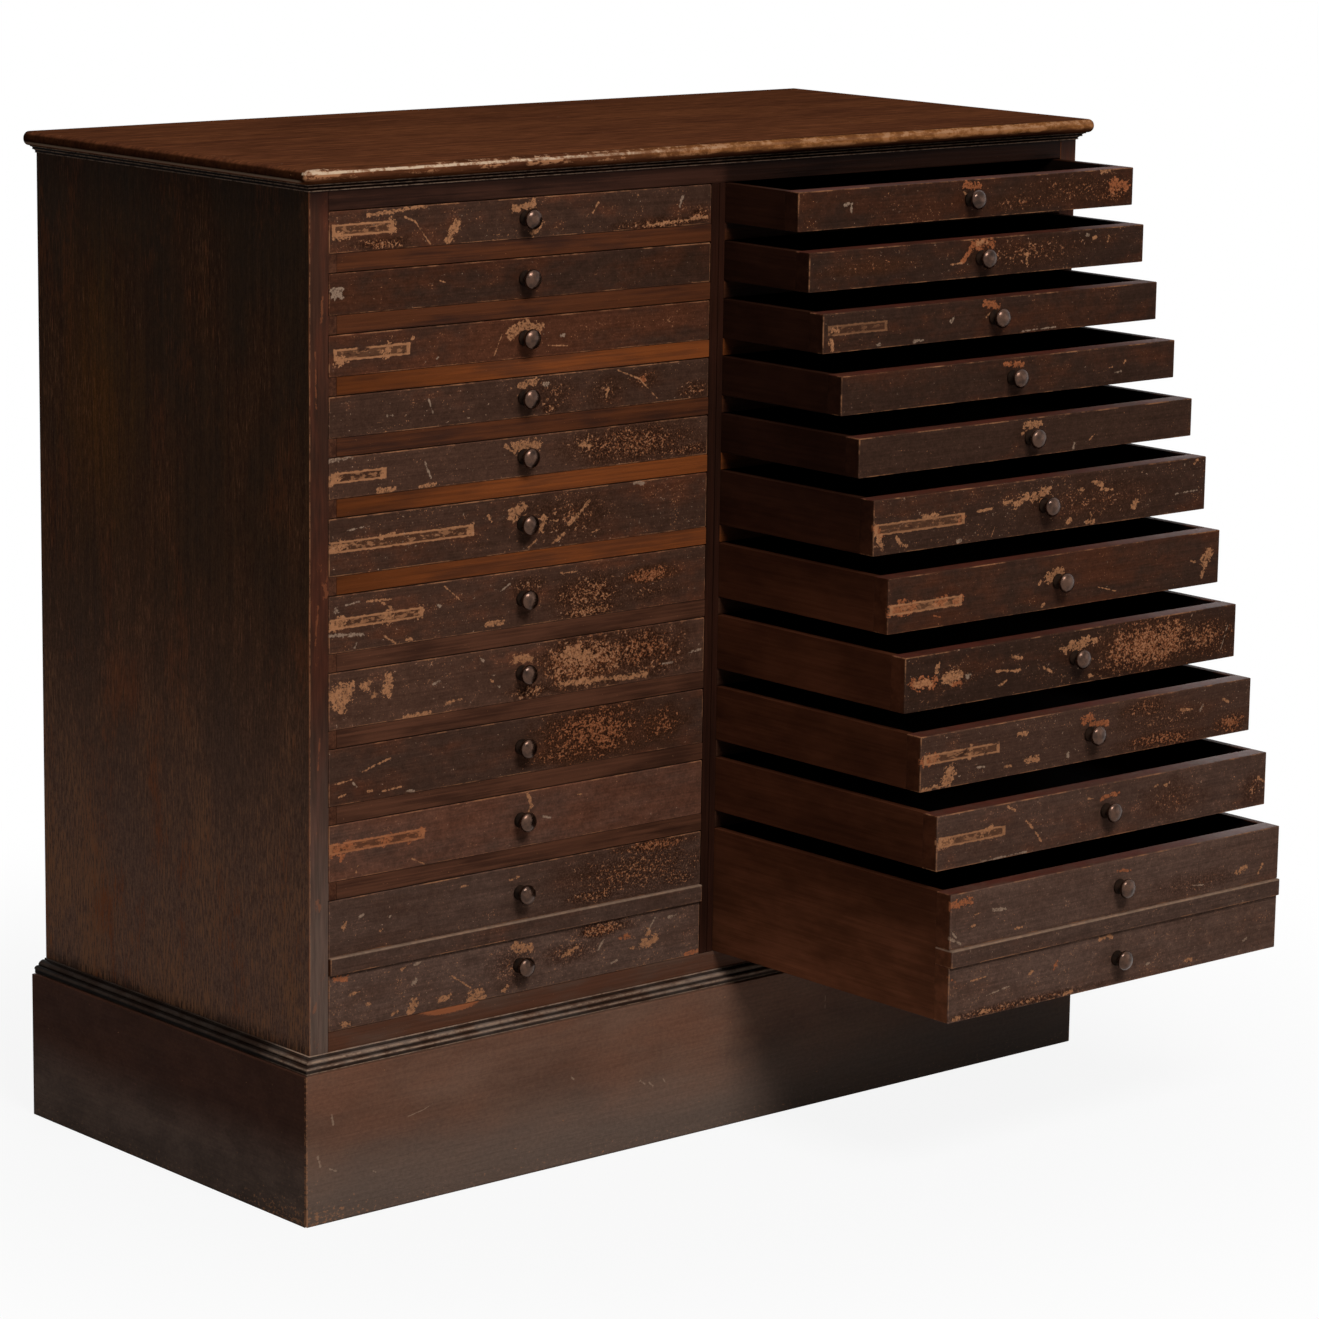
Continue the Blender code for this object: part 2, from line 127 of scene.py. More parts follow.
class CabinetSizes(bpy.types.PropertyGroup):
    """Sizes of the fine shapes that the boards and knobs get."""
    edge_softness: length("Edge softness", "Rounding on the edges of boards", 0.0009)
    front_thickness: length("Front thickness", "Thickness of a drawer's front board", 0.020)
    side_thickness: length("Side thickness", "Thickness of a drawer's sides and back", 0.009)
    bottom_lift: length("Bottom lift", "Height of a drawer's bottom above its lower edge", 0.004)
    bottom_thickness: length("Bottom thickness", "Thickness of a drawer's bottom", 0.005)
    back_drop: length("Back drop", "How far a drawer's back ends below its sides", 0.004)
    band_proud: length("Band", "How far the strip on a double front stands proud", 0.0035)
    band_height: length("Band height", "Height of the strip on a double front", 0.0173)
    lower_front: length("Lower front", "Height of the lower half of a double front", 0.0557)
    nose_segments: IntProperty(name="Nose segments", description="Steps round the top's bullnose",
                               default=10, min=2, max=24)
    knob_segments: IntProperty(name="Knob segments", description="Steps round a turned knob",
                               default=36, min=8, max=96)


class CabinetColours(bpy.types.PropertyGroup):
    """Colours of the finishes."""
    front_cool: colour("Front, cool", "Dark finish of a drawer's front where it is cool", 64, 43, 33)
    front_warm: colour("Front, warm", "Dark finish of a drawer's front where it is warm", 79, 45, 30)
    front_crest: colour("Front, crest", "Red-brown upper edges of the drawers' fronts", 80, 39, 30)
    front_pits: colour("Front, pits", "Dark finish left between flakes", 38, 20, 13)
    front_grey: colour("Front, grey", "Scuffed finish of the lower fronts", 80, 61, 52)
    bare_tan: colour("Bare wood", "Wood where the finish has come off", 160, 110, 76)
    bare_orange: colour("Bare wood, orange", "Stained wood where the finish has thinned", 150, 87, 54)
    thin_finish: colour("Thin finish", "Brown wood that shows through a thinned finish", 84, 46, 22)
    # Pale scuffs, and the painted highlight on the mouldings, a band's arris and the nose's lip
    bare_pale_and_highlight: colour("Pale scuff", "Scuffs where the surface has whitened", 150, 124, 104)
    # Painted highlight colour for the top's nose
    nose_highlight: colour("Nose, bare", "Wood worn smooth on the top's nose", 204, 176, 148)
    nose_gold: colour("Nose, golden", "Golden wood of the nose where the polish is thin", 166, 108, 58)
    rail_orange: colour("Rail, orange", "Bright finish of the rails", 101, 52, 23)
    rail_warm: colour("Rail, warm", "Warm finish of the rails", 80, 43, 24)
    rail_dark: colour("Rail, dark", "Dark finish of the rails", 54, 31, 22)
    rail_faded: colour("Rail, faded", "Faded finish of the lower rails", 82, 50, 35)
    stile_red: colour("Stile", "Finish of the case's front edges", 56, 33, 23)
    stile_light: colour("Stile, light", "Lighter patches of the case's front edges", 76, 40, 27)
    muntin_dark: colour("Muntin", "Finish of the middle post", 34, 18, 12)
    muntin_light: colour("Muntin, light", "Lighter streaks of the middle post", 46, 24, 16)
    side_dark: colour("Side, dark", "Dark finish of the case's sides", 52, 32, 21)
    side_brown: colour("Side, brown", "Worn finish of the case's sides", 78, 50, 32)
    side_worn: colour("Side, worn", "Wood where the sides' polish is rubbed off", 134, 92, 64)
    side_foot: colour("Side, foot", "Faded finish at the foot of the case's sides", 106, 78, 65)
    side_olive: colour("Side, olive", "Greenish patches of the case's sides", 50, 38, 20)
    side_amber: colour("Side, amber", "Patch where the side's polish is thin", 104, 62, 18)
    side_rust: colour("Side, rust", "Red-brown flecks on the case's sides", 116, 62, 34)
    top_red: colour("Top, warm", "Polish of the top board", 118, 69, 42)
    top_dark: colour("Top, dark", "Dark streaks of the top board", 84, 47, 31)
    plinth_brown: colour("Plinth", "Finish of the plinth", 105, 80, 66)
    plinth_dark: colour("Plinth, dark", "Darker patches of the plinth", 82, 59, 47)
    plinth_red: colour("Plinth, red", "Reddish clouds on the plinth", 110, 72, 54)
    plinth_grey: colour("Plinth, grey", "Scuffed finish low on the plinth", 108, 92, 82)
    plinth_side: colour("Plinth, sides", "Finish of the plinth's sides", 58, 35, 26)
    drawer_side: colour("Drawer side", "Finish of the drawers' sides", 66, 35, 21)
    # The next two are painted shade on the upper drawers' sides and painted light on the lowest
    drawer_side_painted_shade: colour("Drawer side, deep", "Dark finish of the upper drawers' sides", 40, 21, 13)
    drawer_pale: colour("Drawer side, pale", "Faded finish of the lowest drawers' sides", 98, 57, 37)
    # Near black, a dark stain in part and painted shade in part, for the dim insides
    inside: colour("Inside", "Wood inside the drawers and the case", 20, 11, 8)
    knob: colour("Knob", "Rubbed patina of the knobs", 82, 58, 45)
    knob_dark: colour("Knob, dark", "Dark patina of the knobs", 42, 29, 22)
    knob_neck: colour("Knob, neck", "Grime round the knobs' necks", 22, 16, 12)
    floor: colour("Floor", "Studio floor", 214, 214, 214)


class Finish:
    """Builds one material, whose patterns read the cabinet's own coordinates in metres."""

    def __init__(self, name, origin=(0, 0, 0), seed=0):
        self.material = bpy.data.materials.new(name)
        self.material.use_nodes = True
        self.nodes = self.material.node_tree.nodes
        self.links = self.material.node_tree.links
        self.shader = self.nodes["Principled BSDF"]
        place = self.nodes.new("ShaderNodeTexCoord").outputs["Object"]
        self.place = self.vector("SUBTRACT", place, origin)
        self.seed = seed
        split = self.nodes.new("ShaderNodeSeparateXYZ")
        self.links.new(self.place, split.inputs[0])
        self.x, self.y, self.z = split.outputs

    def feed(self, socket, value):
        """Links a socket or sets its value."""
        if isinstance(value, bpy.types.NodeSocket):
            self.links.new(value, socket)
        else:
            socket.default_value = value

    def vector(self, operation, first, second=(0, 0, 0)):
        """A vector sum, product or other operation."""
        node = self.nodes.new("ShaderNodeVectorMath")
        node.operation = operation
        self.feed(node.inputs[0], first)
        self.feed(node.inputs[1], second)
        return node.outputs["Value" if operation == "LENGTH" else "Vector"]

    def math(self, operation, first, second=0.0, third=0.0):
        """A sum, product or other operation on numbers."""
        node = self.nodes.new("ShaderNodeMath")
        node.operation = operation
        for socket, value in zip(node.inputs, (first, second, third)):
            self.feed(socket, value)
        return node.outputs[0]

    def ease(self, value, start, end, low=0.0, high=1.0):
        """Goes smoothly from low to high while the value goes from start to end."""
        node = self.nodes.new("ShaderNodeMapRange")
        node.interpolation_type = "SMOOTHSTEP"
        for socket, number in zip(node.inputs, (value, start, end, low, high)):
            self.feed(socket, number)
        return node.outputs["Result"]

    def noise(self, stretch, detail=3.0, roughness=0.55, shift=0):
        """Cloudy noise. The stretch gives how often it changes per metre along X, Y and Z."""
        place = self.vector("MULTIPLY", self.place, stretch)
        offset = self.seed * 7.31 + shift * 3.17
        place = self.vector("ADD", place, (offset, offset * 0.61, -offset * 0.43))
        node = self.nodes.new("ShaderNodeTexNoise")
        self.feed(node.inputs["Vector"], place)
        node.inputs["Scale"].default_value = 1.0
        node.inputs["Detail"].default_value = detail
        node.inputs["Roughness"].default_value = roughness
        return node.outputs["Fac"]

    def blend(self, share, first, second):
        """A blend of two colours."""
        node = self.nodes.new("ShaderNodeMix")
        node.data_type = "RGBA"
        self.feed(node.inputs["Factor"], share)
        sockets = [socket for socket in node.inputs if socket.type == "RGBA"]
        for socket, value in zip(sockets, (first, second)):
            self.feed(socket, value if isinstance(value, bpy.types.NodeSocket) else (*value, 1.0))
        return next(socket for socket in node.outputs if socket.type == "RGBA")

    def shade(self, tint, share):
        """Makes a colour lighter or darker by a share around one."""
        return self.vector("MULTIPLY", tint, self.triple(share))

    def triple(self, value):
        """The same number three times, as a vector."""
        node = self.nodes.new("ShaderNodeCombineXYZ")
        for socket in node.inputs:
            self.feed(socket, value)
        return node.outputs[0]

    def most(self, *values):
        """The largest of several numbers."""
        best = values[0]
        for value in values[1:]:
            best = self.math("MAXIMUM", best, value)
        return best

    def bump(self, height, distance):
        """Raises and lowers the surface a little."""
        node = self.nodes.new("ShaderNodeBump")
        node.inputs["Distance"].default_value = distance
        self.feed(node.inputs["Height"], height)
        self.links.new(node.outputs[0], self.shader.inputs["Normal"])

    def finish(self, tint, roughness, specular=0.04):
        """Gives the surface its colour, roughness and gloss."""
        self.feed(self.shader.inputs["Base Color"], tint)
        self.feed(self.shader.inputs["Roughness"], roughness)
        self.shader.inputs["Specular IOR Level"].default_value = specular
        return self.material


# Rubs on the left stile and scratches on the plinth's front: lines in millimetres, each from one X and Z to
# another, with its half-width.
STILE_RUBS = ((-493, 835, -492, 782, 1.1), (-483, 614, -481, 606, 3.0), (-490, 596, -493, 560, 1.2),
              (-491, 312, -489, 305, 3.0), (-485, 885, -486, 862, 1.6), (-495, 205, -492, 214, 2.4),
              (-488, 470, -490, 440, 1.0))
PLINTH_SCRATCHES = ((-395, 88, -377, 91, 0.7), (-377, 91, -365, 95, 0.6), (-101, 69, -95, 65, 1.3),
                    (-89, 65, -84, 61, 1.2), (-70, 65, -67, 61, 1.0), (151, 101, 151, 114, 0.7),
                    (-487, 106, -485, 97, 1.4), (-191, 90, -188, 87, 1.2), (-503, 68, -500, 58, 1.6),
                    (-489, 54, -482, 50, 1.3), (-438, 42, -434, 39, 1.2))

# Wear on the drawers' fronts, in millimetres from each front's lower left corner. Tone is how light the
# front is, partly its own finish and partly painted light, lighter low down and darker on the upper right
# bank. Warmth runs from cool brown to red, and chips is how many small flecks there are. A label gives
# where a peeled label starts and ends along the front, the middle of its height, its height, how bare it is
# inside its rim, and how strongly it shows. A zone is a flaked area: its middle, its reach to the sides and
# up, how dense the flakes are and how orange they are. The rest are chips and scratches by their finish,
# each a line from one point to another with its half-width.
KINDS = ("tan", "orange", "pale")
TAN, ORANGE, PALE = range(3)
PLAIN = {"tone": 1.0, "warmth": 0.3, "chips": 0.3, "label": None, "zones": (),
         "tan": (), "orange": (), "pale": ()}
FRONT_WEAR = {
    "left_01": {
        "tone": 0.97, "warmth": 0.45, "chips": 0.6,
        "label": (3, 76, 21, 12, 0.5, 1.0),
        "zones": ((58, 6, 34, 6, 1.0, 0.2), (405, 4, 60, 6, 0.9, 0.2), (452, 10, 14, 9, 0.9, 0.2)),
        "tan": ((44, 33, 112, 38, 2.0), (73, 19, 73, 25, 5.0), (88, 29, 100, 24, 1.2),
                (100, 24, 118, 2, 0.9), (138, 4, 150, 20, 4.5), (8, 16, 20, 15, 4.0),
                (218, 29, 243, 33, 4.5), (252, 14, 240, 3, 3.6), (316, 20, 323, 29, 1.2),
                (385, 3, 462, 7, 1.6)),
        "pale": ((427, 20, 431, 29, 2.0),)},
    "left_02": {
        "tone": 0.85, "warmth": 0.5, "chips": 0.1,
        "tan": ((130, 24, 136, 22, 0.8),),
        "pale": ((7, 20, 13, 20, 5.5),)},
    "left_03": {
        "tone": 0.96, "warmth": 0.8, "chips": 0.35,
        "label": (5, 95, 20, 12, 0.7, 1.0),
        "tan": ((10, 14, 18, 16, 5.0), (66, 17, 69, 24, 4.5), (216, 24, 232, 31, 6.0),
                (232, 31, 252, 28, 5.0), (205, 25, 195, 4, 0.9), (262, 10, 286, 8, 0.8),
                (97, 29, 98, 30, 1.8)),
        "pale": ((278, 18, 282, 18, 1.8), (127, 8, 128, 9, 1.5))},
    "left_04": {
        "tone": 1.0, "warmth": 0.15, "chips": 0.35,
        "zones": ((268, 20, 30, 18, 0.5, 0.1), (264, 6, 12, 6, 0.9, 0.1), (335, 15, 24, 16, 0.45, 0.2),
                  (450, 9, 20, 9, 0.7, 0.4), (385, 25, 20, 10, 0.5, 0.5)),
        "tan": ((228, 31, 248, 34, 3.5), (350, 36, 377, 26, 0.9), (377, 26, 402, 4, 0.9),
                (336, 12, 338, 21, 2.0)),
        "orange": ((380, 25, 384, 24, 3.0),),
        "pale": ((117, 27, 122, 14, 1.1), (68, 16, 74, 16, 1.2), (258, 30, 262, 30, 2.2))},
    "left_05": {
        "tone": 1.09, "warmth": 0.12, "chips": 0.5,
        "label": (2, 68, 19.5, 11, 0.1, 1.0),
        "zones": ((370, 20, 85, 22, 0.85, 0.5), (440, 7, 36, 7, 0.8, 0.4), (330, 22, 60, 18, 0.6, 0.3)),
        "tan": ((3, 17, 8, 20, 5.0), (222, 29, 250, 30, 6.0), (210, 32, 222, 24, 2.0),
                (58, 3, 76, 3, 3.0), (108, 2, 126, 3, 2.2), (302, 24, 316, 23, 2.8),
                (312, 25, 314, 35, 1.0), (62, 20, 64, 17, 3.5)),
        "pale": ((0, 36, 26, 38, 2.2), (113, 25, 120, 9, 1.2))},
    "left_06": {
        "tone": 1.01, "warmth": 0.4, "chips": 0.6,
        "label": (0, 173, 27.5, 12, 0.3, 1.0),
        "zones": ((290, 30, 60, 24, 0.45, 0.2),),
        "tan": ((4, 26, 18, 29, 6.0), (168, 26, 170, 30, 4.0), (60, 32, 76, 33, 2.5),
                (220, 38, 232, 42, 6.5), (260, 30, 256, 20, 4.0), (268, 3, 285, 13, 1.8),
                (290, 20, 303, 30, 2.8), (303, 30, 316, 41, 2.4), (240, 3, 250, 10, 1.2),
                (190, 39, 194, 33, 1.7), (267, 27, 276, 26, 1.3), (320, 10, 330, 12, 1.0)),
        "pale": ((374, 53, 386, 52, 2.0), (18, 42, 40, 44, 1.0))},
    "left_07": {
        "tone": 1.05, "warmth": 0.35, "chips": 0.7,
        "label": (2, 112, 28, 11, 0.3, 1.0),
        "zones": ((315, 22, 45, 22, 0.95, 0.15), (315, 6, 44, 8, 1.1, 0.1), (395, 33, 36, 9, 1.3, 0.9),
                  (395, 16, 40, 10, 0.5, 0.1), (240, 38, 25, 12, 0.6, 0.1)),
        "tan": ((4, 27, 16, 29, 6.0), (68, 26, 71, 30, 5.5), (108, 25, 109, 31, 4.0),
                (45, 46, 73, 45, 1.3), (60, 44, 73, 37, 1.3), (137, 50, 158, 33, 0.9),
                (188, 7, 208, 7, 3.0), (64, 11, 78, 2, 1.3), (92, 3, 97, 3, 2.0), (280, 47, 300, 46, 1.2)),
        "pale": ((0, 18, 40, 15, 2.0), (20, 45, 36, 47, 1.0), (205, 37, 218, 44, 1.2),
                 (7, 40, 9, 41, 3.2), (30, 3, 33, 8, 1.2), (130, 32, 132, 31, 1.6))},
    "left_08": {
        "tone": 1.15, "warmth": 0.3, "chips": 0.6,
        "zones": ((312, 30, 62, 30, 1.6, 0.25), (385, 34, 56, 24, 0.9, 0.75), (245, 8, 28, 9, 1.0, 0.1),
                  (400, 12, 45, 10, 0.6, 0.2)),
        "tan": ((12, 32, 18, 34, 12.0), (17, 18, 17, 26, 5.0), (40, 37, 46, 40, 5.0),
                (68, 29, 71, 42, 5.5), (51, 27, 55, 29, 3.5), (140, 9, 158, 11, 1.7),
                (90, 2, 120, 2, 2.2), (224, 42, 246, 40, 4.0), (282, 10, 392, 6, 3.2),
                (194, 25, 197, 23, 1.2), (290, 40, 320, 34, 8.0)),
        "pale": ((125, 30, 131, 32, 1.8), (180, 50, 185, 45, 1.5), (447, 21, 463, 23, 1.3),
                 (413, 14, 426, 14, 1.1), (204, 18, 206, 17, 1.4))},
    "left_09": {
        "tone": 0.97, "warmth": 0.4, "chips": 0.3,
        "zones": ((325, 30, 82, 34, 0.95, 1.0), (410, 28, 40, 20, 0.7, 1.0), (280, 14, 46, 12, 0.7, 0.7)),
        "tan": ((40, 29, 73, 38, 1.2), (8, 21, 27, 23, 1.0), (64, 7, 86, 8, 1.1), (12, 8, 20, 10, 1.2),
                (46, 9, 51, 9, 1.2)),
        "pale": ((28, 20, 33, 15, 1.3), (92, 3, 101, 2, 1.5))},
    "left_10": {
        "tone": 1.1, "warmth": 0.95, "chips": 0.15,
        "label": (0, 115, 31.5, 11, 0.6, 1.0),
        "tan": ((242, 52, 247, 40, 1.9), (247, 40, 243, 34, 1.6), (32, 6, 34, 11, 1.5),
                (99, 9, 114, 1, 1.1), (305, 43, 310, 42, 1.0)),
        "orange": ((4, 30, 22, 32, 5.5), (68, 30, 72, 33, 5.0), (110, 29, 112, 34, 4.0),
                   (14, 20, 17, 24, 2.2), (95, 24, 98, 27, 1.8)),
        "pale": ((261, 27, 271, 24, 1.1),)},
    "left_11a": {
        "tone": 1.04, "warmth": 0.1, "chips": 0.4,
        "zones": ((385, 28, 105, 28, 0.66, 0.35), (405, 50, 62, 8, 1.0, 0.7), (330, 10, 40, 8, 0.8, 0.1),
                  (440, 12, 30, 10, 0.7, 0.1)),
        "tan": ((17, 26, 19, 31, 2.6), (61, 17, 64, 18, 1.4), (160, 45, 168, 45, 1.2),
                (220, 42, 232, 44, 1.6)),
        "pale": ((37, 34, 41, 36, 1.7), (73, 29, 74, 30, 1.5))},
    "left_11b": {
        "tone": 1.12, "warmth": 0.2, "chips": 0.75,
        "zones": ((338, 47, 44, 9, 1.0, 0.3), (300, 30, 40, 12, 0.5, 0.3), (225, 30, 30, 20, 0.4, 0.2)),
        "tan": ((88, 48, 92, 48, 2.0), (24, 33, 36, 34, 1.6), (16, 5, 25, 5, 2.8), (99, 4, 103, 12, 4.5),
                (76, 5, 82, 6, 2.0), (134, 9, 147, 11, 2.8), (172, 4, 184, 9, 6.0),
                (148, 31, 172, 15, 1.0), (44, 20, 50, 20, 1.5), (228, 47, 246, 42, 5.0),
                (213, 4, 218, 8, 2.6), (290, 28, 306, 34, 3.0), (393, 23, 408, 24, 5.5),
                (399, 32, 400, 36, 3.6), (376, 21, 384, 20, 2.0), (168, 2, 190, 2, 2.4)),
        "orange": ((6, 52, 22, 50, 3.0), (362, 34, 374, 34, 2.8), (450, 2, 466, 4, 2.6)),
        "pale": ((102, 49, 110, 51, 1.6), (102, 31, 104, 34, 2.4), (400, 36, 408, 47, 1.2),
                 (334, 26, 341, 36, 1.5), (352, 10, 358, 11, 1.8), (426, 45, 436, 46, 1.8))},
    "right_01": {
        "tone": 0.78, "warmth": 0.55, "chips": 0.35,
        "zones": ((305, 12, 60, 9, 0.5, 0.5), (385, 22, 80, 14, 0.45, 0.6), (440, 12, 25, 8, 0.9, 0.8)),
        "tan": ((420, 37, 432, 38, 2.4), (224, 27, 230, 24, 2.0)),
        "orange": ((224, 34, 244, 31, 4.0), (438, 22, 456, 22, 7.0)),
        "pale": ((62, 23, 71, 24, 1.9), (70, 23, 70, 16, 1.6))},
    "right_02": {
        "tone": 0.8, "warmth": 0.35, "chips": 0.5,
        "zones": ((300, 20, 80, 16, 0.5, 0.3), (90, 20, 60, 8, 0.2, 1.0)),
        "tan": ((298, 19, 298, 10, 2.0), (393, 29, 398, 30, 1.8), (415, 25, 416, 32, 1.4),
                (190, 15, 206, 16, 1.0), (228, 34, 240, 33, 3.2)),
        "orange": ((222, 33, 248, 33, 6.0), (218, 30, 208, 18, 3.0)),
        "pale": ((383, 33, 387, 32, 1.8),)},
    "right_03": {
        "tone": 0.82, "warmth": 0.35, "chips": 0.2,
        "label": (6, 86, 22, 11, 0.5, 0.45),
        "tan": ((10, 12, 13, 4, 3.0), (222, 21, 228, 24, 1.6), (14, 22, 18, 22, 4.0)),
        "orange": ((220, 34, 236, 31, 4.0),),
        "pale": ((71, 4, 76, 4, 1.5), (172, 19, 177, 24, 1.8), (122, 3, 134, 4, 1.6),
                 (270, 2, 320, 3, 0.9))},
    "right_04": {
        "tone": 0.83, "warmth": 0.35, "chips": 0.15,
        "tan": ((372, 18, 376, 18, 1.4), (393, 21, 395, 23, 1.2)),
        "orange": ((222, 33, 246, 31, 3.0),),
        "pale": ((380, 12, 389, 13, 1.3),)},
    "right_05": {
        "tone": 0.88, "warmth": 0.05, "chips": 0.15,
        "tan": ((226, 32, 246, 32, 3.8), (222, 24, 228, 27, 1.6), (318, 9, 326, 15, 1.0)),
        "pale": ((295, 3, 296, 8, 1.6),)},
    "right_06": {
        "tone": 0.89, "warmth": 0.3, "chips": 0.6,
        "label": (1, 123, 25.5, 12, 0.6, 0.8),
        "zones": ((300, 25, 90, 25, 0.3, 0.3),),
        "tan": ((5, 21, 13, 8, 3.6), (31, 16, 36, 8, 2.0), (36, 9, 45, 6, 2.0), (67, 32, 84, 31, 3.2),
                (140, 30, 161, 32, 1.6), (178, 35, 188, 37, 3.2), (192, 31, 208, 39, 3.6),
                (220, 36, 236, 41, 6.0), (282, 38, 288, 37, 3.0), (300, 45, 316, 40, 2.4),
                (314, 36, 330, 34, 1.6), (160, 3, 166, 15, 0.9), (362, 14, 366, 17, 4.0),
                (268, 6, 271, 9, 2.6), (296, 4, 303, 4, 3.0), (300, 4, 301, 10, 1.6),
                (450, 48, 454, 52, 2.0)),
        "orange": ((4, 27, 10, 20, 5.0), (116, 24, 120, 27, 4.0)),
        "pale": ((424, 20, 455, 21, 1.2), (113, 4, 117, 4, 2.0))},
    "right_07": {
        "tone": 0.88, "warmth": 0.55, "chips": 0.25,
        "label": (2, 100, 23.5, 11, 0.8, 0.9),
        "tan": ((218, 32, 236, 37, 5.5), (206, 27, 208, 30, 1.5), (446, 24, 453, 33, 6.0),
                (443, 10, 447, 22, 2.6), (290, 15, 316, 8, 0.8), (210, 4, 215, 6, 1.8),
                (426, 27, 432, 25, 1.6)),
        "orange": ((5, 23, 34, 24, 6.0), (66, 24, 76, 25, 6.0), (92, 23, 97, 24, 5.0),
                   (14, 31, 24, 31, 2.6), (62, 12, 72, 9, 1.0))},
    "right_08": {
        "tone": 0.8, "warmth": 0.3, "chips": 0.5,
        "zones": ((340, 28, 82, 28, 1.4, 0.45), (420, 25, 50, 20, 0.9, 0.5), (300, 8, 50, 8, 0.8, 0.3)),
        "tan": ((14, 27, 32, 27, 4.5), (54, 27, 72, 29, 6.0), (42, 38, 45, 44, 3.0),
                (222, 38, 250, 42, 5.2), (257, 42, 262, 41, 3.0), (145, 38, 158, 36, 1.7),
                (124, 27, 156, 24, 1.7), (190, 23, 201, 16, 1.7), (129, 12, 138, 16, 1.6),
                (255, 6, 258, 6, 2.4), (212, 38, 222, 36, 2.0)),
        "orange": ((12, 27, 36, 27, 6.5), (66, 22, 74, 22, 4.0)),
        "pale": ((84, 27, 87, 28, 3.0), (447, 10, 456, 34, 0.9))},
    "right_09": {
        "tone": 1.01, "warmth": 0.1, "chips": 0.75,
        "label": (4, 107, 31, 11, 0.6, 0.9),
        "zones": ((312, 43, 36, 11, 0.75, 0.5), (340, 8, 60, 10, 0.9, 0.8), (440, 12, 24, 12, 1.3, 0.9),
                  (340, 28, 80, 16, 0.35, 0.3)),
        "tan": ((66, 26, 68, 38, 2.6), (36, 7, 41, 17, 7.5), (4, 2, 26, 3, 2.6), (132, 40, 144, 40, 2.8),
                (144, 13, 160, 12, 3.4), (114, 10, 124, 10, 1.4), (364, 35, 380, 33, 1.8),
                (426, 38, 435, 34, 1.6)),
        "orange": ((4, 31, 18, 31, 6.0), (224, 42, 234, 44, 5.0), (234, 38, 256, 35, 3.4)),
        "pale": ((76, 15, 86, 14, 1.3), (202, 8, 203, 11, 2.0), (392, 30, 397, 36, 1.6))},
    "right_10": {
        "tone": 1.04, "warmth": 0.3, "chips": 0.45,
        "label": (2, 93, 28, 11, 0.7, 0.85),
        "zones": ((330, 24, 45, 20, 0.3, 0.7), (450, 20, 20, 16, 0.5, 0.3)),
        "tan": ((4, 27, 16, 29, 5.0), (62, 28, 72, 34, 3.8), (95, 51, 105, 46, 1.4),
                (121, 33, 131, 24, 1.5), (134, 20, 143, 9, 1.3), (303, 42, 307, 43, 1.6),
                (316, 41, 320, 41, 1.6), (207, 43, 215, 42, 1.4), (456, 30, 466, 24, 1.4)),
        "orange": ((226, 40, 250, 43, 2.4),),
        "pale": ((60, 1, 122, 2, 1.2),)},
    "right_11a": {
        "tone": 1.09, "warmth": 0.1, "chips": 0.4,
        "zones": ((345, 14, 60, 12, 0.3, 0.3),),
        "tan": ((32, 31, 37, 31, 2.0), (28, 20, 33, 20, 1.6), (88, 8, 98, 8, 1.2),
                (406, 15, 418, 19, 3.2), (438, 10, 444, 18, 1.8)),
        "orange": ((2, 44, 26, 46, 4.5), (230, 44, 248, 42, 1.6)),
        "pale": ((57, 32, 74, 30, 2.0), (0, 12, 14, 5, 1.6), (2, 18, 8, 12, 1.2), (340, 12, 356, 10, 1.0))},
    "right_11b": {
        "tone": 1.12, "warmth": 0.15, "chips": 0.55,
        "zones": ((90, 4, 110, 5, 0.8, 0.3),),
        "tan": ((110, 32, 113, 34, 2.3), (30, 38, 50, 39, 0.9), (8, 3, 15, 4, 2.8), (46, 4, 56, 4, 2.6),
                (109, 3, 114, 4, 2.4), (160, 3, 170, 4, 2.4), (335, 8, 342, 8, 2.2),
                (208, 51, 226, 51, 2.4)),
        "orange": ((0, 47, 8, 41, 1.7), (144, 31, 148, 37, 2.4)),
        "pale": ((52, 20, 84, 24, 0.9), (277, 14, 280, 15, 1.5), (420, 15, 424, 16, 1.6))},
}


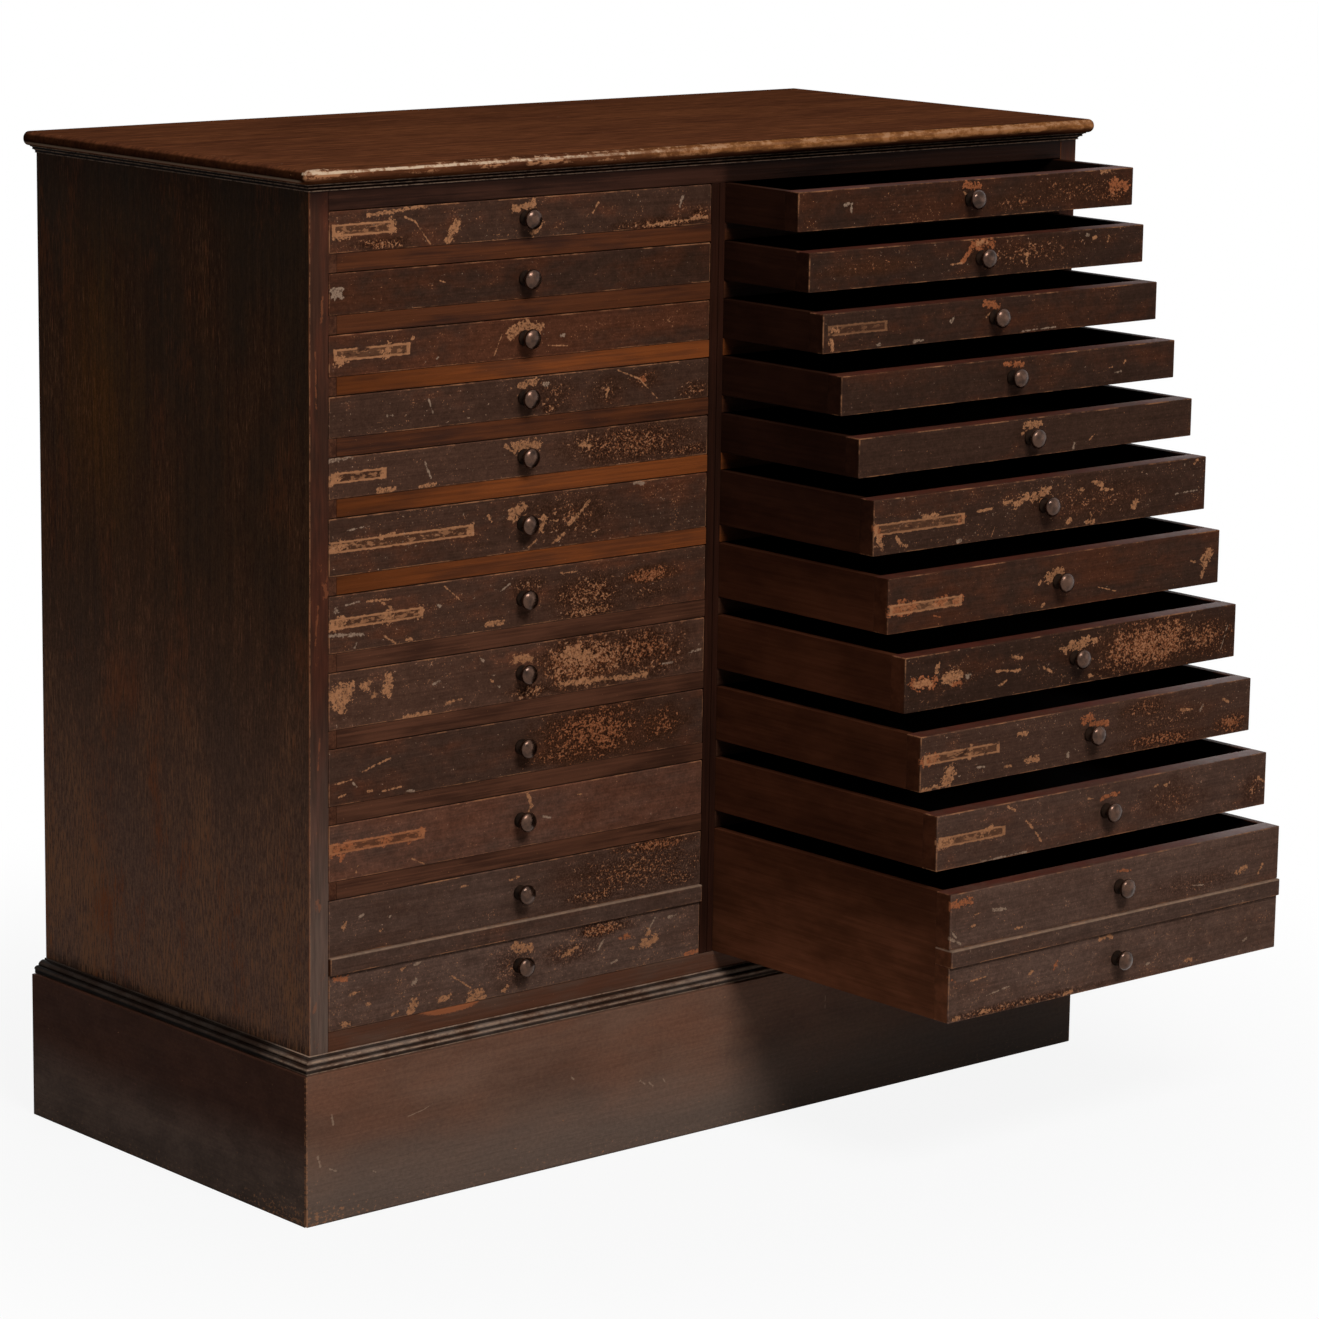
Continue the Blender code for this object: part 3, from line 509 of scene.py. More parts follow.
def mark_group():
    """A reusable pattern: one when a place is within a half-width of a line, with a soft rim."""
    group = bpy.data.node_groups.get("worn_mark")
    if group:
        return group
    group = bpy.data.node_groups.new("worn_mark", "ShaderNodeTree")
    for name, kind in (("Place", "NodeSocketVector"), ("Start", "NodeSocketVector"),
                       ("Along", "NodeSocketVector"), ("Reach", "NodeSocketFloat"),
                       ("Rough", "NodeSocketFloat"), ("Before", "NodeSocketFloat")):
        group.interface.new_socket(name=name, in_out="INPUT", socket_type=kind)
    group.interface.new_socket(name="Mark", in_out="OUTPUT", socket_type="NodeSocketFloat")
    nodes, links = group.nodes, group.links
    given, result = nodes.new("NodeGroupInput"), nodes.new("NodeGroupOutput")

    def step(kind, operation, *values):
        node = nodes.new(kind)
        node.operation = operation
        for socket, value in zip(node.inputs, values):
            links.new(value, socket)
        return node

    place, start, along, reach, rough, before = given.outputs[:6]
    offset = step("ShaderNodeVectorMath", "SUBTRACT", place, start).outputs[0]
    shadow = step("ShaderNodeVectorMath", "DOT_PRODUCT", offset, along).outputs["Value"]
    square = step("ShaderNodeVectorMath", "DOT_PRODUCT", along, along).outputs["Value"]
    share = step("ShaderNodeMath", "DIVIDE", shadow, square)
    share.use_clamp = True
    nearest = nodes.new("ShaderNodeVectorMath")
    nearest.operation = "SCALE"
    links.new(along, nearest.inputs[0])
    links.new(share.outputs[0], nearest.inputs["Scale"])
    gap = step("ShaderNodeVectorMath", "DISTANCE", offset, nearest.outputs[0]).outputs["Value"]
    ragged = step("ShaderNodeMath", "MULTIPLY", reach, rough).outputs[0]
    margin = step("ShaderNodeMath", "SUBTRACT", ragged, gap).outputs[0]
    rim = nodes.new("ShaderNodeMapRange")
    rim.interpolation_type = "SMOOTHSTEP"
    rim.inputs["From Max"].default_value = 0.0005
    links.new(margin, rim.inputs["Value"])
    both = step("ShaderNodeMath", "MAXIMUM", rim.outputs["Result"], before)
    links.new(both.outputs[0], result.inputs["Mark"])
    return group


def add_marks(mix, flat, marks, rough):
    """The strongest of several chips and scratches, whose rims are made ragged by a noise."""
    strongest = 0.0
    for start_x, start_z, end_x, end_z, reach in marks:
        node = mix.nodes.new("ShaderNodeGroup")
        node.node_tree = mark_group()
        mix.feed(node.inputs["Place"], flat)
        node.inputs["Start"].default_value = (start_x / 1000, 0, start_z / 1000)
        node.inputs["Along"].default_value = ((end_x - start_x) / 1000, 0, (end_z - start_z) / 1000)
        node.inputs["Reach"].default_value = reach / 1000
        mix.feed(node.inputs["Rough"], rough)
        mix.feed(node.inputs["Before"], strongest)
        strongest = node.outputs["Mark"]
    return strongest


class FrontFinish(Finish):
    """The worn finish of one drawer front, which lies between two corners."""

    def __init__(self, name, low, high, seed):
        super().__init__(f"front_{name}", low, seed)
        self.colours = bpy.context.scene.cabinet_colours
        self.wear = {**PLAIN, **FRONT_WEAR.get(name, {})}
        self.banded = name.endswith("_band")
        self.foot = low[2]
        self.width, self.height = high[0] - low[0], high[2] - low[2]
        self.flat = self.vector("MULTIPLY", self.place, (1, 0, 1))
        self.grain = self.noise((9, 60, 520), 4.0, 0.65)
        self.cloud = self.noise((6, 6, 26), 4.0, 0.6, shift=1)
        self.fine = self.noise((520, 520, 560), 2.0, 0.65, shift=2)
        self.patch = self.noise((150, 150, 190), 4.0, 0.65, shift=3)
        self.blot = self.noise((38, 38, 60), 3.0, 0.6, shift=4)
        self.rubbed = self.noise((26, 34, 34), 5.0, 0.75, shift=5)
        self.flake = self.noise((330, 330, 370), 3.0, 0.6, shift=6)

    def dress(self):
        """The whole finish: the ground, what is bare on it, and the worn edges."""
        base, flaked = self.flaked_areas(self.ground())
        kinds = self.bare_shares(flaked)
        if self.wear["label"]:
            base = self.peeled_label(base, kinds)
        facing = self.ease(self.y, 0.004, 0.0015)
        kinds = [self.math("MULTIPLY", kind, facing) for kind in kinds]
        tint = self.worn_edges(base, kinds)
        for kind, strength, bare in ((ORANGE, 0.88, self.colours.bare_orange),
                                     (TAN, 0.9, self.colours.bare_tan),
                                     (PALE, 0.75, self.colours.bare_pale_and_highlight)):
            tint = self.blend(self.math("MULTIPLY", kinds[kind], strength), tint, bare)
        tint = self.shade(tint, self.ease(self.patch, 0.3, 0.7, 0.84, 1.14))
        relief = self.math("MULTIPLY_ADD", self.patch, 0.4, self.math("MULTIPLY", self.grain, 0.5))
        self.bump(relief, 0.0004)
        return self.finish(tint, self.ease(self.most(*kinds), 0.0, 1.0, 0.44, 0.75), 0.015)

    def ground(self):
        """The dark finish before any wear: warm and cool in clouds, and greyer on the lower fronts."""
        colours, wear = self.colours, self.wear
        warmth = self.math("MULTIPLY_ADD", self.blot, 0.35, self.math("MULTIPLY", self.cloud, 0.65))
        warmth = self.ease(warmth, 0.58 - 0.32 * wear["warmth"], 0.80 - 0.32 * wear["warmth"])
        base = self.blend(warmth, colours.front_cool, colours.front_warm)
        grey = min(0.8, max(0.0, (0.45 - self.foot) / 0.3))
        base = self.blend(self.ease(self.cloud, 0.35, 0.65, grey, 0.4 * grey), base, colours.front_grey)
        # The tone lightens or darkens the whole front, partly as painted light
        bright = wear["tone"] ** 2.2
        base = self.shade(base, self.ease(self.grain, 0.28, 0.72, 0.84 * bright, 1.16 * bright))
        base = self.shade(base, self.ease(self.blot, 0.3, 0.7, 0.90, 1.10))
        return self.shade(base, self.ease(self.fine, 0.3, 0.7, 0.86, 1.14))

    def flaked_areas(self, base):
        """Thins and pits the base in the flaked areas. Each area's flakes come with how orange they are."""
        if not self.wear["zones"]:
            return base, []
        thinned = pitted = 0.0
        flaked = []
        for middle_x, middle_z, reach_x, reach_z, dense, orange in self.wear["zones"]:
            away = self.vector("SUBTRACT", self.flat, (middle_x / 1000, 0, middle_z / 1000))
            away = self.vector("MULTIPLY", away, (1000 / reach_x, 0, 1000 / reach_z))
            away = self.math("MULTIPLY_ADD", self.blot, 1.1, self.vector("LENGTH", away))
            gain = self.ease(away, 2.05, 0.50, -0.14, 0.22 * dense - 0.08)
            clump = 0.42 + 0.3 * max(0.0, dense - 1.0)
            gain = self.math("MULTIPLY_ADD", self.patch, clump, self.math("ADD", gain, -clump / 2))
            flaked.append((self.ease(self.math("ADD", self.flake, gain), 0.585, 0.635), orange))
            stain = self.ease(away, 2.0, 0.8, 0.0, min(0.5, 0.25 * dense + 0.25 * orange))
            thinned = self.math("MAXIMUM", stain, thinned)
            pits = self.ease(away, 2.0, 0.9, 0.0, min(1.0, 0.2 + 0.9 * dense))
            pitted = self.math("MAXIMUM", pits, pitted)
        base = self.blend(thinned, base, self.colours.thin_finish)
        pitted = self.math("MULTIPLY", pitted, self.ease(self.fine, 0.59, 0.46, 0.0, 0.95))
        return self.blend(pitted, base, self.colours.front_pits), flaked

    def bare_shares(self, flaked):
        """How bare each place is from chips, scratches, flecks and flakes, by kind of bare wood."""
        rough = self.math("MULTIPLY_ADD", self.patch, 0.6, self.math("MULTIPLY", self.flake, 0.4))
        rough = self.ease(rough, 0.36, 0.60, 0.1, 1.35)
        broken = self.math("MULTIPLY_ADD", self.fine, 0.5, self.math("MULTIPLY", self.flake, 0.5))
        broken = self.ease(broken, 0.42, 0.52, 0.35, 1.0)
        kinds = [self.math("MULTIPLY", add_marks(self, self.flat, self.wear[kind], rough), broken)
                 for kind in KINDS]
        flecks = self.math("MULTIPLY_ADD", self.blot, 0.36, 0.07 * self.wear["chips"] - 0.21)
        flecks = self.ease(self.math("ADD", self.fine, flecks), 0.70, 0.745)
        kinds[TAN] = self.most(kinds[TAN], flecks)
        specks = self.math("ADD", self.flake, 0.05 * self.wear["chips"] - 0.125)
        specks = self.ease(self.math("MULTIPLY_ADD", self.patch, 0.25, specks), 0.725, 0.755)
        kinds[PALE] = self.most(kinds[PALE], specks)
        crisp = self.ease(self.fine, 0.40, 0.56, 0.45, 1.0)
        for flakes, orange in flaked:
            flakes = self.math("MULTIPLY", flakes, crisp)
            stained = self.math("MULTIPLY", flakes, min(1.0, 0.4 + 0.5 * orange))
            kinds[ORANGE] = self.most(kinds[ORANGE], stained)
            cores = self.ease(self.fine, 0.44, 0.56, 0.0, max(0.3, 1.05 - 0.8 * orange))
            kinds[TAN] = self.most(kinds[TAN], self.math("MULTIPLY", flakes, cores))
            peaks = self.ease(self.fine, 0.58, 0.64, 0.0, 0.5 - 0.3 * orange)
            kinds[PALE] = self.most(kinds[PALE], self.math("MULTIPLY", flakes, peaks))
        return kinds

    def peeled_label(self, base, kinds):
        """Bares the rim where a label was peeled off, and browns the base inside it, with bare spots."""
        start, end, middle, tall = (value / 1000 for value in self.wear["label"][:4])
        inner_bare, strength = self.wear["label"][4:]
        across = self.math("ABSOLUTE", self.math("SUBTRACT", self.x, (start + end) / 2))
        up = self.math("ABSOLUTE", self.math("SUBTRACT", self.z, middle))
        wobble = self.math("MULTIPLY_ADD", self.patch, 0.0060, -0.0030)

        def inside(reach_x, reach_z):
            sideways = self.math("MULTIPLY_ADD", wobble, 0.5, self.math("SUBTRACT", reach_x, across))
            upright = self.math("MULTIPLY_ADD", wobble, 0.5, self.math("SUBTRACT", reach_z, up))
            return self.math("MULTIPLY", self.ease(sideways, 0, 0.0007), self.ease(upright, 0, 0.0007))

        outer = inside((end - start) / 2, tall / 2)
        inner = inside((end - start) / 2 - 0.004, tall / 2 - 0.0019)
        spots = self.ease(self.noise((110, 200, 240), 3.0, 0.6, shift=8), 0.51, 0.61,
                          1.0 - 0.26 * inner_bare, 0.3)
        bared = self.math("SUBTRACT", outer, self.math("MULTIPLY", inner, spots))
        torn = self.ease(self.noise((50, 60, 110), 3.0, 0.6, shift=9), 0.30, 0.39)
        bared = self.math("MULTIPLY", bared, self.math("MULTIPLY", torn, strength))
        if self.wear["warmth"] > 0.9:
            kinds[ORANGE] = self.most(kinds[ORANGE], bared)
            bared = self.math("MULTIPLY", bared, 0.4)
        kinds[TAN] = self.most(kinds[TAN], bared)
        browned = self.math("MULTIPLY", inner, 0.8 - 0.15 * inner_bare)
        return self.blend(browned, base, self.colours.stile_red)

    def worn_edges(self, base, kinds):
        """Rubs the edges, reddens the upper one, and gives the ends the tone of the drawer's sides, painted
        shade and light included. A band's top arris gets a painted highlight.
        """
        from_end = self.math("MINIMUM", self.x, self.math("SUBTRACT", self.width, self.x))
        from_top = self.math("SUBTRACT", self.height, self.z)
        from_brim = self.math("MINIMUM", self.z, from_top)
        nearer = self.math("MINIMUM", from_end, from_brim)
        farther = self.math("MINIMUM", self.math("MAXIMUM", from_end, from_brim), self.y)
        edge = self.ease(self.math("MAXIMUM", nearer, farther), 0.0014, 0.0006)
        rubs = self.math("MULTIPLY", edge, self.ease(self.rubbed, 0.46, 0.62, 0.0, 0.75))
        kinds[TAN] = self.most(kinds[TAN], rubs)
        base = self.shade(base, self.math("MULTIPLY_ADD", edge, 0.35, 1.0))
        # The ends take the drawer sides' tone, with its painted shade and light
        ends = self.math("MULTIPLY", self.ease(from_end, 0.0012, 0.0004), self.ease(self.y, 0.0005, 0.002))
        base = self.blend(ends, base, side_tone(self, self.math("ADD", self.z, self.foot), self.blot))
        crest = self.math("MULTIPLY", self.ease(from_top, 0.0010, 0.0003), self.ease(self.y, 0.0008, 0.0020))
        crest = self.math("MULTIPLY", crest, self.ease(self.rubbed, 0.36, 0.60, 0.3, 0.9))
        # A painted highlight along the band's proud top arris, carried as a pale mark
        if self.banded:
            arris = self.math("MULTIPLY", self.ease(from_top, 0.0020, 0.0010), 0.8)
            kinds[PALE] = self.most(kinds[PALE], arris)
        return self.blend(crest, base, self.colours.front_crest)


def side_tone(mix, height, patches):
    """The tone of the drawers' sides: darkened by painted shade on the upper drawers and lightened by painted
    light on the lowest.
    """
    colours = bpy.context.scene.cabinet_colours
    tone = mix.blend(mix.ease(height, 0.70, 0.54), colours.drawer_side_painted_shade, colours.drawer_side)
    tone = mix.blend(mix.ease(height, 0.33, 0.17), tone, colours.drawer_pale)
    return mix.shade(tone, mix.ease(patches, 0.3, 0.7, 0.66, 1.20))


def drawer_side_finish():
    """The outer faces of the drawers' sides: finely grained, in soft patches, with painted shade on the upper
    drawers and painted light on the lowest.
    """
    colours = bpy.context.scene.cabinet_colours
    mix = Finish("drawer_side_wood", seed=7)
    grain = mix.noise((90, 7, 300), 4.0, 0.6)
    patches = mix.noise((14, 9, 26), 4.0, 0.62, shift=1)
    fine = mix.noise((260, 200, 260), 4.0, 0.7, shift=2)
    base = side_tone(mix, mix.z, patches)
    base = mix.shade(base, mix.ease(grain, 0.28, 0.72, 0.84, 1.16))
    tint = mix.blend(mix.ease(fine, 0.74, 0.78, 0.0, 0.5), base, colours.bare_orange)
    mix.bump(grain, 0.0003)
    return mix.finish(tint, 0.5, 0.01)


def rail_finish(name, dark, warm, seed, fade=1.0):
    """Streaked rails, with painted shadow under the top and painted shade behind the right bank's open
    drawers. A fade below one dulls their left.
    """
    colours = bpy.context.scene.cabinet_colours
    mix = Finish(name, seed=seed)
    streaks = mix.noise((7, 60, 380), 5.0, 0.6)
    cloud = mix.noise((9, 6, 50), 3.0, 0.6, shift=1)
    fine = mix.noise((300, 300, 420), 3.0, 0.7, shift=2)
    share = mix.math("MULTIPLY_ADD", streaks, 0.3, mix.math("MULTIPLY", cloud, 0.7))
    base = mix.blend(mix.ease(share, 0.36, 0.60), dark, warm)
    base = mix.shade(base, mix.ease(streaks, 0.25, 0.75, 0.84, 1.16))
    along = mix.math("MULTIPLY_ADD", cloud, 0.16, mix.x)
    base = mix.shade(base, mix.ease(along, CASE_LOW[0] + 0.06, CASE_LOW[0] + 0.38, fade, 2.0 - fade))
    # Painted shade on the rails behind the right bank, where its open drawers shadow them
    base = mix.shade(base, mix.ease(mix.x, 0.0, 0.015, 1.0, 0.35))
    worn = mix.ease(fine, 0.70, 0.75)
    tint = mix.blend(mix.math("MULTIPLY", worn, 0.6), base, colours.bare_tan)
    # Painted shadow under the top's overhang
    up = mix.math("MULTIPLY_ADD", cloud, 0.012, mix.z)
    tint = mix.shade(tint, mix.ease(up, CASE_HIGH[2] - 0.008, CASE_HIGH[2] + 0.002, 1.0, 0.35))
    mix.bump(streaks, 0.0004)
    return mix.finish(tint, 0.48, 0.03)


def bottom_rail_finish():
    """The bottom rail: grey-brown, with a bare orange bite in its upper edge."""
    colours = bpy.context.scene.cabinet_colours
    mix = Finish("worn_bottom_rail", seed=43)
    streaks = mix.noise((7, 60, 380), 5.0, 0.6)
    cloud = mix.noise((14, 6, 60), 3.0, 0.6, shift=1)
    fine = mix.noise((300, 300, 420), 3.0, 0.7, shift=2)
    base = mix.blend(mix.ease(cloud, 0.34, 0.66), colours.rail_faded, colours.plinth_dark)
    base = mix.shade(base, mix.ease(streaks, 0.25, 0.75, 0.84, 1.16))
    bite_place = (CASE_LOW[0] + 0.147, 0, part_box(f"drawer_left_{DOUBLE}")[0][2] + 0.001)
    away = mix.vector("SUBTRACT", mix.place, bite_place)
    away = mix.vector("LENGTH", mix.vector("MULTIPLY", away, (24, 0, 120)))
    bite = mix.ease(mix.math("MULTIPLY_ADD", fine, 0.5, away), 1.20, 1.02)
    spots = mix.math("MULTIPLY", mix.ease(fine, 0.68, 0.73), 0.6)
    tint = mix.blend(mix.math("MULTIPLY", bite, 0.8), base, colours.bare_orange)
    tint = mix.blend(spots, tint, colours.bare_tan)
    mix.bump(streaks, 0.0004)
    return mix.finish(tint, 0.45)


def board_finish(name, dark, light, grain, seed, patches, worn=0.0, roughness=0.45, specular=0.01):
    """A stained board: streaks along its grain, soft patches, and more bare spots the more it is worn."""
    colours = bpy.context.scene.cabinet_colours
    mix = Finish(name, seed=seed)
    streaks = mix.noise(grain, 5.0, 0.62)
    cloud = mix.noise(patches, 4.0, 0.6, shift=1)
    pores = mix.noise(tuple(3 * value for value in grain), 2.0, 0.5, shift=2)
    share = mix.math("MULTIPLY_ADD", streaks, 0.5, mix.math("MULTIPLY", cloud, 0.5))
    base = mix.blend(mix.ease(share, 0.38, 0.62), dark, light)
    base = mix.shade(base, mix.ease(pores, 0.25, 0.75, 0.82, 1.18))
    fine = mix.noise((260, 260, 260), 4.0, 0.7, shift=3)
    bare = mix.ease(fine, 0.80 - 0.1 * worn, 0.83 - 0.1 * worn)
    tint = mix.blend(mix.math("MULTIPLY", bare, 0.6), base, colours.bare_tan)
    mix.bump(mix.math("MULTIPLY_ADD", bare, -0.5, pores), 0.0003)
    return mix.finish(tint, roughness, specular)


def side_finish():
    """The case's sides: dark polish rubbed off in short flecks along the grain, more so near the foot.
    Painted shade darkens them towards the top, an amber patch glows near the upper rear, and painted shade
    lies where the sides meet the plinth's cap."""
    colours = bpy.context.scene.cabinet_colours
    mix = Finish("stained_side", seed=3)
    fibre = mix.noise((560, 560, 60), 4.0, 0.7)
    long_grain = mix.noise((130, 130, 4), 4.0, 0.6, shift=1)
    cloud = mix.noise((15, 15, 6), 4.0, 0.62, shift=2)
    red = mix.noise((24, 24, 7), 3.0, 0.6, shift=3)
    fine = mix.noise((420, 420, 300), 3.0, 0.7, shift=4)
    foot = mix.ease(mix.z, 0.66, 0.20)
    share = mix.math("MULTIPLY_ADD", long_grain, 0.5, mix.math("MULTIPLY", cloud, 0.5))
    share = mix.math("MULTIPLY_ADD", foot, 0.06, share)
    base = mix.blend(mix.ease(share, 0.36, 0.68), colours.side_dark, colours.side_brown)
    base = mix.blend(mix.math("MULTIPLY", foot, 0.9), base, colours.side_foot)
    # Painted shade, darker towards the top
    base = mix.shade(base, mix.ease(mix.z, 0.96, 0.52, 0.55, 1.0))
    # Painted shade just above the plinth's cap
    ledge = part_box("plinth_cap")[1][2]
    up = mix.math("MULTIPLY_ADD", cloud, 0.01, mix.z)
    base = mix.shade(base, mix.ease(up, ledge + 0.004, ledge + 0.022, 0.5, 1.0))
    amber_place = (0, 0.12, 0.76)
    away = mix.vector("MULTIPLY", mix.vector("SUBTRACT", mix.place, amber_place), (0, 11, 5.5))
    away = mix.math("MULTIPLY_ADD", cloud, 1.6, mix.vector("LENGTH", away))
    glow = mix.math("MULTIPLY", mix.ease(away, 1.9, 1.0), mix.ease(long_grain, 0.3, 0.6, 0.1, 0.4))
    base = mix.blend(glow, base, colours.side_amber)
    olive = mix.math("MULTIPLY", mix.ease(cloud, 0.60, 0.42, 0.0, 0.22), mix.math("SUBTRACT", 1.0, foot))
    base = mix.blend(olive, base, colours.side_olive)
    base = mix.shade(base, mix.ease(fibre, 0.3, 0.7, 0.70, 1.30))
    base = mix.shade(base, mix.ease(fine, 0.3, 0.7, 0.76, 1.24))
    bared = mix.math("MULTIPLY_ADD", cloud, 0.40, mix.math("MULTIPLY", fibre, 0.80))
    bared = mix.ease(mix.math("MULTIPLY_ADD", foot, 0.11, bared), 0.68, 0.80)
    bared = mix.math("MULTIPLY", bared, mix.ease(foot, 0.0, 1.0, 0.45, 0.85))
    tint = mix.blend(bared, base, colours.side_worn)
    rusty = mix.math("MULTIPLY_ADD", fibre, 0.45, mix.math("MULTIPLY", red, 0.55))
    rusty = mix.math("MULTIPLY", mix.ease(rusty, 0.54, 0.62), mix.ease(foot, 0.0, 1.0, 0.25, 0.75))
    tint = mix.blend(rusty, tint, colours.side_rust)
    tint = mix.blend(mix.ease(fine, 0.74, 0.78, 0.0, 0.5), tint, colours.bare_tan)
    front = mix.math("SUBTRACT", mix.y, FACE)
    arris = mix.math("MULTIPLY", mix.ease(front, 0.0016, 0.0006), mix.ease(red, 0.40, 0.58, 0.1, 0.8))
    tint = mix.blend(arris, tint, colours.bare_orange)
    mix.bump(mix.math("MULTIPLY_ADD", long_grain, 0.6, fibre), 0.0004)
    return mix.finish(tint, mix.ease(cloud, 0.3, 0.7, 0.42, 0.56), 0.008)


def stile_finish():
    """The case's front edges: red-brown, with painted shadow under the top, greyer low down, rubbed, with a
    pale arris.
    """
    colours = bpy.context.scene.cabinet_colours
    mix = Finish("worn_stile", seed=29)
    streaks = mix.noise((380, 60, 20), 4.0, 0.65)
    cloud = mix.noise((60, 30, 14), 4.0, 0.6, shift=1)
    fine = mix.noise((300, 300, 150), 4.0, 0.7, shift=2)
    base = mix.blend(mix.ease(cloud, 0.36, 0.66), colours.stile_red, colours.stile_light)
    base = mix.shade(base, mix.ease(mix.z, 0.84, 0.70, 1.0, 0.8))
    foot = mix.ease(mix.z, 0.55, 0.2, 0.0, 0.58)
    base = mix.blend(foot, base, colours.plinth_grey)
    base = mix.shade(base, mix.ease(streaks, 0.25, 0.75, 0.75, 1.25))
    rubs = mix.ease(mix.math("MULTIPLY_ADD", fine, 0.4, mix.math("MULTIPLY", cloud, 0.6)), 0.61, 0.67)
    flat = mix.vector("MULTIPLY", mix.place, (1, 0, 1))
    rough = mix.ease(fine, 0.38, 0.58, 0.2, 1.3)
    rubs = mix.math("MULTIPLY", mix.most(add_marks(mix, flat, STILE_RUBS, rough), rubs), 0.32)
    tint = mix.blend(rubs, base, colours.bare_orange)
    outer = mix.math("SUBTRACT", mix.math("ABSOLUTE", mix.x), CASE_HIGH[0])
    arris = mix.math("MULTIPLY", mix.ease(outer, 0.0207, 0.0215), mix.ease(fine, 0.40, 0.55, 0.05, 0.5))
    tint = mix.blend(arris, tint, colours.bare_tan)
    # Painted shadow under the top's overhang
    up = mix.math("MULTIPLY_ADD", cloud, 0.03, mix.z)
    tint = mix.shade(tint, mix.ease(up, CASE_HIGH[2] - 0.022, CASE_HIGH[2] + 0.006, 1.0, 0.34))
    mix.bump(streaks, 0.0003)
    return mix.finish(tint, 0.45)


def top_finish():
    """The polished top: streaked along its length and chipped near its front. Its nose is worn pale and
    carries a painted highlight, both strongest at the left, and is golden at the right. Painted shade darkens
    the nose's lower half, and a painted highlight lines its lower lip at both ends."""
    colours = bpy.context.scene.cabinet_colours
    low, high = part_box("top_board")
    ridge_highlight_height, lip_height = high[2] - 0.0036, high[2] - 0.0112
    mix = Finish("polished_top", seed=11)
    streaks = mix.noise((5, 80, 80), 5.0, 0.65)
    hairs = mix.noise((26, 240, 240), 3.0, 0.7, shift=4)
    cloud = mix.noise((5, 12, 12), 4.0, 0.6, shift=1)
    rubbed = mix.noise((26, 90, 150), 5.0, 0.75, shift=2)
    crumbs = mix.noise((110, 160, 160), 4.0, 0.7, shift=3)
    front = mix.math("SUBTRACT", mix.y, low[1])
    ends = mix.math("SUBTRACT", high[0], mix.math("ABSOLUTE", mix.x))

    # The polish on the flat
    share = mix.math("MULTIPLY_ADD", streaks, 0.55, mix.math("MULTIPLY", cloud, 0.45))
    base = mix.blend(mix.ease(share, 0.28, 0.72), colours.top_dark, colours.top_red)
    base = mix.shade(base, mix.ease(hairs, 0.30, 0.70, 0.66, 1.34))
    base = mix.shade(base, mix.ease(front, 0.012, 0.004, 1.0, 0.62))
    base = mix.shade(base, mix.ease(ends, 0.0022, 0.0006, 1.0, 0.30))

    # The worn band along the nose, most ragged at the left corner
    upper = mix.math("MULTIPLY_ADD", rubbed, 0.006, mix.z)
    upper = mix.ease(upper, high[2] - 0.0075, high[2] - 0.0045)
    nose = mix.ease(mix.math("MULTIPLY_ADD", rubbed, 0.012, front), 0.0125, 0.0095)
    worn_nose = mix.math("MULTIPLY", nose, upper)
    # The corner feeds both the ragged wear and the painted highlight
    corner = mix.ease(mix.math("ADD", mix.x, front), low[0] + 0.05, low[0] + 0.02, 0.0, 0.12)
    ragged = mix.math("MULTIPLY_ADD", crumbs, 0.45, mix.math("MULTIPLY", rubbed, 0.55))
    ragged = mix.math("ADD", ragged, mix.ease(mix.x, low[0] + 0.28, low[0] + 0.10, 0.0, -0.05))
    ragged = mix.ease(mix.math("ADD", ragged, corner), 0.495, 0.545)
    rightwards = mix.ease(mix.x, low[0] + 0.30, low[0] + 0.58)
    bare = mix.math("MULTIPLY", worn_nose, ragged)
    bare = mix.math("MULTIPLY", bare, mix.ease(rightwards, 0.0, 1.0, 1.0, 0.6))

    # Chips near the edges, and flecks all over
    depth = mix.math("MINIMUM", front, ends)
    scars = mix.math("MULTIPLY", mix.ease(depth, 0.05, 0.01), mix.ease(crumbs, 0.66, 0.70))
    flecks = mix.ease(mix.noise((70, 170, 170), 3.0, 0.7, shift=5), 0.73, 0.76)
    bare = mix.most(bare, mix.math("MULTIPLY", scars, 0.7), mix.math("MULTIPLY", flecks, 0.6))

    # The painted highlight where the nose turns to the flat, brightest at the left
    ridge_highlight = mix.math("ABSOLUTE", mix.math("SUBTRACT", mix.z, ridge_highlight_height))
    ridge_highlight = mix.math("MULTIPLY", mix.ease(ridge_highlight, 0.0018, 0.0007), mix.ease(front, 0.0075, 0.0065))
    ridge_highlight = mix.math("MULTIPLY", ridge_highlight, mix.ease(mix.x, low[0] + 0.12, low[0] + 0.58, 1.0, 0.22))
    ridge_highlight = mix.math("MULTIPLY", ridge_highlight, mix.ease(crumbs, 0.36, 0.50, 0.5, 1.0))
    bare = mix.most(bare, ridge_highlight)
    # A painted highlight on the nose's upper round, strongest at the left corner
    polished = mix.math("MULTIPLY", mix.ease(mix.z, high[2] - 0.005, high[2] - 0.003),
                        mix.math("MULTIPLY_ADD", corner, 3.2, 0.2))
    polished = mix.math("MULTIPLY", mix.most(polished, ridge_highlight), mix.ease(crumbs, 0.42, 0.6, 0.5, 1.5))
    worn = mix.blend(polished, colours.bare_tan, colours.nose_highlight)

    golden = mix.math("MULTIPLY", rightwards, worn_nose)
    golden = mix.math("MULTIPLY", golden, mix.ease(rubbed, 0.36, 0.58, 0.35, 0.85))
    golden = mix.math("MULTIPLY", golden, mix.ease(crumbs, 0.36, 0.60, 0.45, 1.0))
    base = mix.blend(golden, base, colours.nose_gold)
    tint = mix.blend(mix.math("MULTIPLY", bare, 0.9), base, worn)
